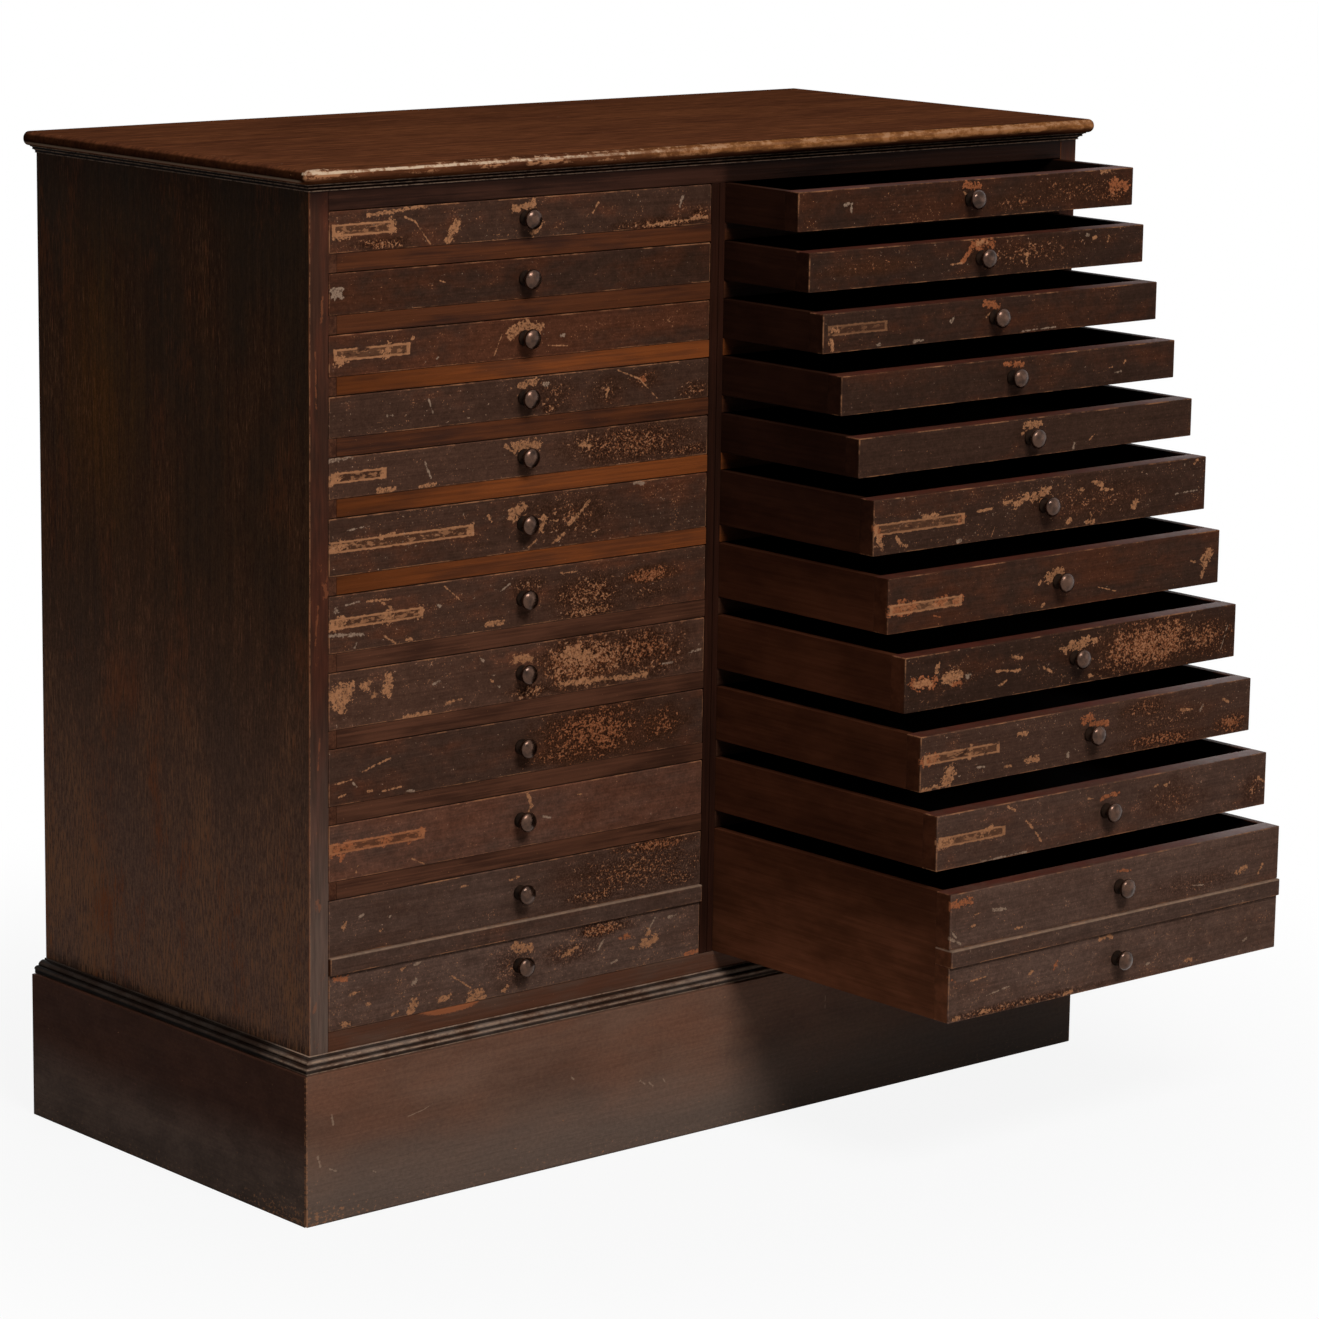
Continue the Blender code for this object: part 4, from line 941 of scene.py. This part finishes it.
    # Painted shade on the nose's lower half
    tint = mix.shade(tint, mix.ease(mix.z, high[2] - 0.011, high[2] - 0.006, 0.55, 1.0))

    # The painted highlight on the lower lip of the nose at both ends, and the dark back edge
    lip = mix.math("ABSOLUTE", mix.math("SUBTRACT", mix.z, lip_height))
    lip = mix.math("MULTIPLY", mix.ease(lip, 0.0017, 0.0007), mix.ease(front, 0.006, 0.015))
    lip = mix.math("MULTIPLY", lip, mix.ease(ends, 0.007, 0.006, 0.0, 0.6))
    tint = mix.blend(lip, tint, colours.bare_pale_and_highlight)
    tint = mix.shade(tint, mix.ease(mix.y, high[1] - 0.004, high[1] - 0.002, 1.0, 0.5))
    mix.bump(mix.math("MULTIPLY_ADD", rubbed, 0.4, mix.math("MULTIPLY", streaks, 0.5)), 0.0006)
    return mix.finish(tint, mix.ease(streaks, 0.3, 0.7, 0.36, 0.48), 0.0)


def moulding_finish(name, base_height, dark, light, seed, bright, dull, side_light, side_rub):
    """A moulding that is rubbed pale, with a painted highlight strongest near the left corner, on its bright
    bands, and holds dirt and painted shade in its dull ones. The last two numbers are the share of light that
    painted shade leaves on it along the case's sides, and how much of its bright bands shows there, next to
    its front."""
    colours = bpy.context.scene.cabinet_colours
    mix = Finish(name, seed=seed)
    streaks = mix.noise((14, 14, 160), 4.0, 0.6)
    cloud = mix.noise((30, 30, 60), 4.0, 0.65, shift=1)
    crumbs = mix.noise((160, 160, 260), 4.0, 0.7, shift=2)
    base = mix.blend(mix.ease(cloud, 0.36, 0.64), dark, light)
    base = mix.shade(base, mix.ease(streaks, 0.25, 0.75, 0.8, 1.2))
    up = mix.math("SUBTRACT", mix.z, base_height)

    def bands(heights):
        strongest = 0.0
        for middle, half in heights:
            gap = mix.math("ABSOLUTE", mix.math("SUBTRACT", up, middle / 1000))
            band = mix.ease(gap, (half + 0.35) / 1000, half / 1000)
            strongest = mix.math("MAXIMUM", band, strongest)
        return strongest

    along_front = mix.ease(mix.y, FACE + 0.090, FACE - 0.004)
    rubbed = mix.math("MULTIPLY", bands(bright), mix.ease(crumbs, 0.36, 0.58, 0.2, 0.95))
    # The painted highlight is strongest near the left corner
    leftwards = mix.ease(mix.x, CASE_LOW[0] + 0.35, CASE_LOW[0] + 0.05, 0.6, 0.95)
    rubbed = mix.math("MULTIPLY", rubbed, leftwards)
    rubbed = mix.math("MULTIPLY", rubbed, mix.ease(along_front, 0.0, 1.0, side_rub, 1.0))
    # Painted shade on the runs along the case's sides
    base = mix.shade(base, mix.ease(along_front, 0.0, 1.0, side_light, 1.0))
    tint = mix.blend(rubbed, base, colours.bare_pale_and_highlight)
    # Dirt and painted shade in the dull bands
    tint = mix.shade(tint, mix.math("MULTIPLY_ADD", bands(dull), -0.72, 1.0))
    mix.bump(crumbs, 0.0002)
    return mix.finish(tint, 0.38, 0.01)


def plinth_finish(name, side_share, gloss):
    """The plinth: grey-brown with soft reddish clouds, fine scuffs, and nicks along its foot and corners.
    The share is how much of the sides' darker tone it has."""
    colours = bpy.context.scene.cabinet_colours
    front_low, front_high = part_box("plinth_front")
    mix = Finish(name, seed=19)
    fine_grain = mix.noise((12, 12, 460), 3.0, 0.6)
    cloud = mix.noise((6, 6, 14), 4.0, 0.6, shift=1)
    red = mix.noise((6, 6, 15), 3.0, 0.6, shift=2)
    crumbs = mix.noise((200, 200, 280), 4.0, 0.7, shift=3)
    flecks = mix.noise((90, 90, 160), 3.0, 0.7, shift=4)

    base = mix.blend(mix.ease(cloud, 0.30, 0.66), colours.plinth_dark, colours.plinth_brown)
    reddish = mix.ease(mix.z, 0.05, 0.13, 0.0, 0.3)
    reddish = mix.math("MULTIPLY_ADD", mix.ease(red, 0.40, 0.70), 0.45, reddish)
    base = mix.blend(reddish, base, colours.plinth_red)
    low = mix.ease(mix.math("MULTIPLY_ADD", cloud, 0.08, mix.z), 0.13, 0.05)
    base = mix.blend(mix.math("MULTIPLY", low, 0.65), base, colours.plinth_grey)
    base = mix.blend(side_share, base, colours.plinth_side)
    if side_share:
        soft = mix.noise((22, 22, 40), 4.0, 0.6, shift=5)
        base = mix.blend(mix.ease(mix.z, 0.10, 0.03, 0.0, 0.5), base, colours.plinth_grey)
        base = mix.shade(base, mix.ease(soft, 0.34, 0.66, 0.84, 1.16))
    else:
        # Painted shadow of the open right-hand drawers on the front's right part
        base = mix.shade(base, mix.ease(mix.x, 0.10, 0.42, 1.0, 0.5))
    base = mix.shade(base, mix.ease(fine_grain, 0.28, 0.72, 0.93, 1.07))
    base = mix.shade(base, mix.ease(crumbs, 0.3, 0.7, 0.88, 1.12))
    base = mix.shade(base, mix.ease(mix.z, 0.06, 0.0, 1.0, 0.8))

    # Nicks gather on the corners, along the foot and round the left front corner
    corner = mix.math("SUBTRACT", front_high[0], mix.math("ABSOLUTE", mix.x))
    front = mix.math("SUBTRACT", mix.y, front_low[1])
    arris = mix.math("MULTIPLY", mix.ease(corner, 0.003, 0.0012), mix.ease(front, 0.003, 0.0012))
    foot = mix.ease(mix.z, 0.030, 0.002)
    gain = mix.math("MULTIPLY_ADD", foot, 0.10, mix.math("MULTIPLY", arris, 0.20))
    away = mix.vector("SUBTRACT", mix.place, (front_low[0], FACE, 0))
    away = mix.vector("LENGTH", mix.vector("MULTIPLY", away, (12, 12, 14)))
    gain = mix.math("ADD", gain, mix.ease(away, 1.3, 0.2, 0.0, 0.09))
    nicks = mix.ease(mix.math("ADD", crumbs, gain), 0.70, 0.745)
    tint = mix.blend(mix.math("MULTIPLY", nicks, 0.6), base, colours.bare_tan)
    tint = mix.blend(mix.ease(flecks, 0.72, 0.75, 0.0, 0.55), tint, colours.bare_tan)
    flat = mix.vector("MULTIPLY", mix.place, (1, 0, 1))
    scratches = add_marks(mix, flat, PLINTH_SCRATCHES, mix.ease(crumbs, 0.38, 0.58, 0.2, 1.2))
    tint = mix.blend(mix.math("MULTIPLY", scratches, 0.6), tint, colours.bare_pale_and_highlight)
    tint = mix.shade(tint, mix.ease(mix.z, 0.0, 0.003, 0.6, 1.0))
    mix.bump(mix.math("MULTIPLY_ADD", crumbs, 0.5, fine_grain), 0.0003)
    return mix.finish(tint, mix.ease(cloud, 0.3, 0.7, 0.36, 0.5), gloss)


def knob_finish(name, dark, light, metallic, roughness, specular):
    """The patina of a knob's head or neck, in soft clouds of two tones."""
    mix = Finish(name, seed=23)
    cloud = mix.noise((130, 130, 130), 4.0, 0.55)
    tint = mix.blend(mix.ease(cloud, 0.26, 0.64), dark, light)
    mix.bump(cloud, 0.0001)
    mix.shader.inputs["Metallic"].default_value = metallic
    return mix.finish(tint, mix.ease(cloud, 0.3, 0.7, roughness - 0.06, roughness + 0.1), specular)


def add_box(bm, low, high):
    """Adds a plain box between two corners and returns its vertices."""
    place = Matrix.Translation((low + high) / 2) @ Matrix.Diagonal((*(high - low), 1.0))
    return bmesh.ops.create_cube(bm, size=1.0, matrix=place)["verts"]


def round_edges(bm, edges, radius, segments=2):
    """Rounds some edges in a few steps."""
    bmesh.ops.bevel(bm, geom=edges, offset=radius, affect="EDGES", segments=segments, profile=0.5,
                    material=-1, clamp_overlap=True)


def add_board(bm, low, high, softness, finish=0):
    """Adds a board between two corners, with softly rounded edges where it has any softness."""
    made = add_box(bm, Vector(low), Vector(high))
    edges = list(dict.fromkeys(edge for vert in made for edge in vert.link_edges))
    for vert in made:
        for face in vert.link_faces:
            face.material_index = finish
    if softness:
        round_edges(bm, edges, softness)


def make_piece(name, bm, finishes, body, replaced, sharp=40.0):
    """Turns a bmesh into a finished piece that rides on a body and stands for CAD nodes."""
    mesh = bpy.data.meshes.new(name)
    bm.to_mesh(mesh)
    bm.free()
    for finish in finishes:
        mesh.materials.append(finish)
    mesh.shade_smooth()
    mesh.set_sharp_from_angle(angle=radians(sharp))
    piece = bpy.data.objects.new(name, mesh)
    bpy.context.scene.collection.objects.link(piece)
    even = piece.modifiers.new("even_light", "WEIGHTED_NORMAL")
    even.keep_sharp = True
    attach(piece, body)
    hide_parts(*replaced)
    return piece


def copied_node(node):
    """A merged copy of a CAD node, with its flat faces in one piece each."""
    bm = bmesh.new()
    bm.from_mesh(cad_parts[node].data)
    bmesh.ops.remove_doubles(bm, verts=bm.verts, dist=MERGE)
    bmesh.ops.dissolve_limit(bm, angle_limit=radians(1), verts=bm.verts, edges=bm.edges)
    return bm


def soften(bm, softness):
    """Rounds the outer edges of a shape."""
    edges = [edge for edge in bm.edges
             if edge.is_manifold and edge.is_convex and edge.calc_face_angle() > radians(60)]
    round_edges(bm, edges, softness)


def paint_node(node, finish):
    """Gives a CAD node that stays in view its finish."""
    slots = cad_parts[node].data.materials
    slots.clear()
    slots.append(finish)


class CABINET_OT_case(bpy.types.Operator):
    """Build the sides with their runners, and finish the boards inside and behind"""
    bl_idname = "cabinet.case"
    bl_label = "Case"

    def execute(self, context):
        colours, sizes = context.scene.cabinet_colours, context.scene.cabinet_sizes
        outer, front_edge, runner_end = range(3)
        runner_finish = board_finish("runner_ends", colours.rail_dark, colours.rail_faded, (260, 60, 260),
                                     31, (40, 40, 40), 0.2)
        finishes = (side_finish(), stile_finish(), runner_finish)
        inner_face = CASE_HIGH[0]
        for name in ("left_side", "right_side"):
            bm = copied_node(name)
            for x in (-inner_face, inner_face):
                bmesh.ops.bisect_plane(bm, geom=[*bm.verts, *bm.edges, *bm.faces], dist=MERGE,
                                       plane_co=(x, 0, 0), plane_no=(1, 0, 0))
            soften(bm, sizes.edge_softness)
            for face in bm.faces:
                face.material_index = front_edge if face.normal.y < -0.5 else outer
                if abs(face.calc_center_median().x) < inner_face - MERGE:
                    face.material_index = runner_end
            make_piece(f"{name}_board", bm, finishes, "carcass", (name,))
        # The inside colour is partly painted shade
        inner = board_finish("inside_boards", colours.inside, colours.drawer_side, (90, 90, 6), 5,
                             (8, 8, 3), 0.0, 0.65)
        for name in ("centre_partition", "back_panel", "bottom_board", "plinth_back", "plinth_bearer"):
            paint_node(name, inner)
        return {"FINISHED"}


class CABINET_OT_front_frame(bpy.types.Operator):
    """Build the rails and the muntin of the front frame as separate jointed bars"""
    bl_idname = "cabinet.front_frame"
    bl_label = "Front frame"

    def execute(self, context):
        softness = context.scene.cabinet_sizes.edge_softness
        (left, front, base), (right, back, top) = CASE_LOW, CASE_HIGH
        first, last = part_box("drawer_left_01"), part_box(f"drawer_left_{DOUBLE}")
        inner = first[1][0] + DRAWER_SIDE_GAP
        ceiling, ground = first[1][2] + DRAWER_RISE, last[0][2] - HAIR
        bm = bmesh.new()
        add_board(bm, (left, front, ceiling), (right, back, top), softness, TOP_RAIL)
        add_board(bm, (left, front, base), (right, back, ground), softness, BOTTOM_RAIL)
        for strip in ((inner, MUNTIN_JOINT - HAIR), (MUNTIN_JOINT + HAIR, -inner)):
            add_board(bm, (strip[0], front, ground), (strip[1], back, ceiling), softness, MUNTIN)
        for bank, sign in zip(BANKS, (-1, 1)):
            for row, tone in enumerate(RAIL_TONES, start=1):
                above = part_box(f"drawer_{bank}_{row:02d}")
                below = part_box(f"drawer_{bank}_{row + 1:02d}")
                ends = sorted((sign * abs(inner), sign * (abs(left) - RUNNER_END)))
                low = (ends[0], front, below[1][2] + DRAWER_RISE)
                high = (ends[1], back, above[0][2] - HAIR)
                add_board(bm, low, high, softness, tone)
        make_piece("front_frame_bars", bm, self.finishes(context.scene.cabinet_colours), "carcass",
                   ("front_frame",))
        return {"FINISHED"}

    def finishes(self, colours):
        """The finishes of the frame, in the order of their numbers."""
        muntin = board_finish("worn_muntin", colours.muntin_dark, colours.muntin_light, (200, 200, 6), 13,
                              (6, 6, 5), 0.1)
        return (rail_finish("rails_orange", colours.rail_warm, colours.rail_orange, 41, 0.68),
                rail_finish("rails_faded", colours.stile_red, colours.rail_faded, 42),
                rail_finish("rails_brown", colours.rail_dark, colours.rail_warm, 44),
                muntin,
                bottom_rail_finish(),
                # The top rail's darkest colours are partly painted shadow under the top's overhang
                rail_finish("top_rail", colours.muntin_dark, colours.rail_dark, 45))


class CABINET_OT_top(bpy.types.Operator):
    """Build the bullnosed top board and the moulding under it"""
    bl_idname = "cabinet.top"
    bl_label = "Top"

    def execute(self, context):
        sizes, colours = context.scene.cabinet_sizes, context.scene.cabinet_colours
        low, high = (Vector(corner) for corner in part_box("top_board"))
        bm = bmesh.new()
        add_box(bm, low, high)
        front_edges = [edge for edge in bm.edges if min(vert.co.y for vert in edge.verts) < low.y + HAIR]
        round_edges(bm, front_edges, (high.z - low.z) / 2 - HAIR, sizes.nose_segments)
        make_piece("top_board_nosed", bm, (top_finish(),), "carcass", ("top_board",), 60)
        dark = moulding_finish("bed_moulding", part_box("top_moulding")[0][2], colours.muntin_dark,
                               colours.rail_dark, seed=17, bright=BED_RUBBED_AND_LIT, dull=BED_DIRT_AND_SHADE,
                               side_light=0.45, side_rub=0.9)
        make_piece("top_moulding_run", copied_node("top_moulding"), (dark,), "carcass",
                   ("top_moulding",), 35)
        return {"FINISHED"}


class CABINET_OT_plinth(bpy.types.Operator):
    """Build the plinth boards and the reeded cap"""
    bl_idname = "cabinet.plinth"
    bl_label = "Plinth"

    def execute(self, context):
        colours, sizes = context.scene.cabinet_colours, context.scene.cabinet_sizes
        front_board = plinth_finish("worn_plinth", side_share=0.0, gloss=0.04)
        side_board = plinth_finish("worn_plinth_sides", side_share=0.9, gloss=0.008)
        for name, finish in (("plinth_front", front_board), ("plinth_left", side_board),
                             ("plinth_right", side_board)):
            bm = copied_node(name)
            soften(bm, sizes.edge_softness)
            make_piece(f"{name}_board", bm, (finish,), "carcass", (name,))
        reeds = moulding_finish("plinth_reeds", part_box("plinth_cap")[0][2], colours.plinth_dark,
                                colours.plinth_grey, seed=21, bright=CAP_RUBBED_AND_LIT, dull=CAP_DIRT_AND_SHADE,
                                side_light=0.24, side_rub=0.05)
        make_piece("plinth_cap_reeds", copied_node("plinth_cap"), (reeds,), "carcass",
                   ("plinth_cap",), 35)
        return {"FINISHED"}


class CABINET_OT_drawers(bpy.types.Operator):
    """Build every drawer from its own boards, each front with its own wear"""
    bl_idname = "cabinet.drawers"
    bl_label = "Drawers"

    def execute(self, context):
        colours = context.scene.cabinet_colours
        side = drawer_side_finish()
        # The inside colour is partly painted shade
        inner = board_finish("drawer_inside_wood", colours.inside, colours.inside, (90, 5, 90), 9,
                             (9, 4, 9), 0.0, 0.7)
        for number, bank in enumerate(BANKS):
            for row in range(1, ROWS + 1):
                self.build(context, f"{bank}_{row:02d}", number * ROWS + row, side, inner)
        return {"FINISHED"}

    def build(self, context, label, seed, side, inner):
        """Builds one drawer: its front or fronts, two sides, a back and a bottom."""
        sizes = context.scene.cabinet_sizes
        low, high = (Vector(corner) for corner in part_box(f"drawer_{label}"))
        double = label.endswith(DOUBLE)
        face = low.y + (sizes.band_proud if double else 0)
        behind = face + sizes.front_thickness
        fronts = [(label, low.z, high.z, face, seed)]
        if double:
            split = low.z + sizes.lower_front
            over = split + sizes.band_height
            fronts = [(f"{label}_band", split, over, low.y, seed + 60),
                      (f"{label}a", over, high.z, face, seed + 7),
                      (f"{label}b", low.z, split, face, seed + 14)]
        soft, wall = sizes.edge_softness, sizes.side_thickness
        bm = bmesh.new()
        finishes = []
        for name, bottom, top, plane, front_seed in fronts:
            corner, far = (low.x, plane, bottom), (high.x, behind, top)
            add_board(bm, corner, far, soft, len(finishes))
            finishes.append(FrontFinish(name, corner, far, front_seed).dress())
        wood, inside = len(finishes), len(finishes) + 1
        finishes += [side, inner]
        floor = low.z + sizes.bottom_lift
        add_board(bm, (low.x, behind, low.z), (low.x + wall, high.y, high.z), soft, wood)
        add_board(bm, (high.x - wall, behind, low.z), (high.x, high.y, high.z), soft, wood)
        add_board(bm, (low.x + wall, high.y - wall, floor),
                  (high.x - wall, high.y, high.z - sizes.back_drop), soft, inside)
        add_board(bm, (low.x + wall, behind, floor),
                  (high.x - wall, high.y - wall, floor + sizes.bottom_thickness), 0, inside)
        for board_face in bm.faces:
            middle = board_face.calc_center_median()
            between = low.x + wall - HAIR < middle.x < high.x - wall + HAIR
            if between and middle.y > behind - HAIR and middle.z < high.z - soft:
                board_face.material_index = inside
        make_piece(f"drawer_{label}_boards", bm, finishes, f"drawer_{label}", (f"drawer_{label}",))


class CABINET_OT_knobs(bpy.types.Operator):
    """Turn the knobs"""
    bl_idname = "cabinet.knobs"
    bl_label = "Knobs"

    def execute(self, context):
        colours = context.scene.cabinet_colours
        head = knob_finish("knob_head", colours.knob_dark, colours.knob, 0.85, 0.22, 0.8)
        neck = knob_finish("knob_neck", colours.knob_neck, colours.knob_dark, 0.0, 0.6, 0.01)
        for name in sorted(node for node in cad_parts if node.startswith("knob_")):
            label = name.removeprefix("knob_").rstrip("ab")
            bm = self.turned(name, context.scene.cabinet_sizes.knob_segments)
            make_piece(f"{name}_turned", bm, (head, neck), f"drawer_{label}", (name,), 50)
        return {"FINISHED"}

    def turned(self, name, steps):
        """A knob turned round its own axis, with its neck in the second finish."""
        low, high = (Vector(corner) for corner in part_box(name))
        middle = (low + high) / 2
        radius, reach = (high.x - low.x) / 2, high.y - low.y
        bm = bmesh.new()
        verts = [bm.verts.new((middle.x + radius * out, high.y - reach * along, middle.z))
                 for out, along in KNOB_OUTLINE]
        edges = [bm.edges.new(pair) for pair in zip(verts, verts[1:])]
        bmesh.ops.spin(bm, geom=verts + edges, cent=(middle.x, high.y, middle.z), axis=(0, 1, 0),
                       angle=2 * pi, steps=steps, use_merge=True)
        bmesh.ops.remove_doubles(bm, verts=bm.verts, dist=MERGE)
        bmesh.ops.recalc_face_normals(bm, faces=bm.faces)
        for face in bm.faces:
            face.material_index = int(face.calc_center_median().y > high.y - KNOB_HEAD_FROM * reach)
        return bm


def add_area(name, place, aim, size, power):
    """A soft area lamp that points at a place."""
    light = bpy.data.lights.new(name, "AREA")
    light.shape = "RECTANGLE"
    light.size, light.size_y = size
    light.energy = power
    lamp = bpy.data.objects.new(name, light)
    bpy.context.scene.collection.objects.link(lamp)
    lamp.location = place
    lamp.rotation_euler = (Vector(aim) - Vector(place)).to_track_quat("-Z", "Y").to_euler()


class CABINET_OT_studio(bpy.types.Operator):
    """Build the floor, the lamps and the camera"""
    bl_idname = "cabinet.studio"
    bl_label = "Studio"

    def execute(self, context):
        scene = context.scene
        bm = bmesh.new()
        bmesh.ops.create_grid(bm, x_segments=1, y_segments=1, size=FLOOR_REACH)
        mesh = bpy.data.meshes.new("studio_floor")
        bm.to_mesh(mesh)
        bm.free()
        floor = bpy.data.objects.new("studio_floor", mesh)
        scene.collection.objects.link(floor)
        mesh.materials.append(self.floor_finish(scene.cabinet_colours))
        self.light_world(scene)
        for name, settings in LAMPS.items():
            add_area(name, *settings)
        self.add_camera(scene)
        scene.view_settings.view_transform = "Standard"
        return {"FINISHED"}

    def floor_finish(self, colours):
        """A pale floor that the camera sees as near white, with the cabinet's shadow on it."""
        mix = Finish("pale_floor")
        mix.shader.inputs["Base Color"].default_value = (*colours.floor, 1.0)
        mix.shader.inputs["Roughness"].default_value = 0.9
        mix.shader.inputs["Specular IOR Level"].default_value = 0.1
        glow = mix.nodes.new("ShaderNodeEmission")
        glow.inputs["Color"].default_value = (1, 1, 1, 1)
        blend = mix.nodes.new("ShaderNodeMixShader")
        path = mix.nodes.new("ShaderNodeLightPath").outputs
        away = mix.vector("LENGTH", mix.vector("MULTIPLY", mix.place, (1, 1, 0)))
        seen = mix.most(path["Is Camera Ray"], path["Is Glossy Ray"], path["Is Transmission Ray"])
        seen = mix.math("MULTIPLY", seen, mix.ease(away, 0.5, 1.3, 0.9, 1.0))
        mix.links.new(seen, blend.inputs[0])
        mix.links.new(mix.shader.outputs[0], blend.inputs[1])
        mix.links.new(glow.outputs[0], blend.inputs[2])
        output = next(node for node in mix.nodes if node.type == "OUTPUT_MATERIAL")
        mix.links.new(blend.outputs[0], output.inputs["Surface"])
        return mix.material

    def light_world(self, scene):
        """A dim studio that the camera and shiny things see as white."""
        world = bpy.data.worlds.new("studio")
        scene.world = world
        world.use_nodes = True
        nodes, links = world.node_tree.nodes, world.node_tree.links
        path = nodes.new("ShaderNodeLightPath")
        seen = path.outputs["Is Camera Ray"]
        for ray in ("Is Glossy Ray", "Is Transmission Ray"):
            either = nodes.new("ShaderNodeMath")
            either.operation = "MAXIMUM"
            links.new(seen, either.inputs[0])
            links.new(path.outputs[ray], either.inputs[1])
            seen = either.outputs[0]
        strength = nodes.new("ShaderNodeMapRange")
        links.new(seen, strength.inputs["Value"])
        strength.inputs["To Min"].default_value = 0.03
        strength.inputs["To Max"].default_value = 1.0
        background = nodes["Background"]
        background.inputs["Color"].default_value = (1, 1, 1, 1)
        links.new(strength.outputs[0], background.inputs["Strength"])

    def add_camera(self, scene):
        """The camera, at the photograph's viewing angle."""
        data = bpy.data.cameras.new("camera")
        data.sensor_fit = "HORIZONTAL"
        data.sensor_width = CAMERA_SENSOR
        data.lens = CAMERA_LENS
        data.clip_end = CAMERA_SIGHT
        camera = bpy.data.objects.new("camera", data)
        scene.collection.objects.link(camera)
        turn, tilt, roll = radians(CAMERA_TURN), radians(CAMERA_TILT), radians(CAMERA_ROLL)
        ahead = Vector((sin(turn) * cos(tilt), cos(turn) * cos(tilt), -sin(tilt)))
        level = Vector((cos(turn), -sin(turn), 0))
        upright = level.cross(ahead)
        across = cos(roll) * level + sin(roll) * upright
        up = -sin(roll) * level + cos(roll) * upright
        place = Matrix((across, up, -ahead)).transposed().to_4x4()
        place.translation = CAMERA_PLACE
        camera.matrix_world = place
        scene.camera = camera


class CABINET_PT_sidebar(bpy.types.Panel):
    """Lists the cabinet's builders in the sidebar"""
    bl_label = "Collectors Cabinet"
    bl_space_type = "VIEW_3D"
    bl_region_type = "UI"
    bl_category = "Cabinet"

    def draw(self, context):
        for operator in OPERATORS:
            self.layout.operator(operator.bl_idname)


OPERATORS = (CABINET_OT_case, CABINET_OT_front_frame, CABINET_OT_top, CABINET_OT_plinth,
             CABINET_OT_drawers, CABINET_OT_knobs, CABINET_OT_studio)
CLASSES = (CabinetSizes, CabinetColours, *OPERATORS, CABINET_PT_sidebar)


def register():
    """Adds the classes and the scene's properties."""
    for one in CLASSES:
        bpy.utils.register_class(one)
    bpy.types.Scene.cabinet_sizes = PointerProperty(type=CabinetSizes)
    bpy.types.Scene.cabinet_colours = PointerProperty(type=CabinetColours)


def unregister():
    """Removes what register added."""
    del bpy.types.Scene.cabinet_colours
    del bpy.types.Scene.cabinet_sizes
    for one in reversed(CLASSES):
        bpy.utils.unregister_class(one)


def main():
    """Builds everything in order."""
    register()
    bpy.ops.cabinet.case()
    bpy.ops.cabinet.front_frame()
    bpy.ops.cabinet.top()
    bpy.ops.cabinet.plinth()
    bpy.ops.cabinet.drawers()
    bpy.ops.cabinet.knobs()
    bpy.ops.cabinet.studio()


if __name__ == "__main__":
    main()
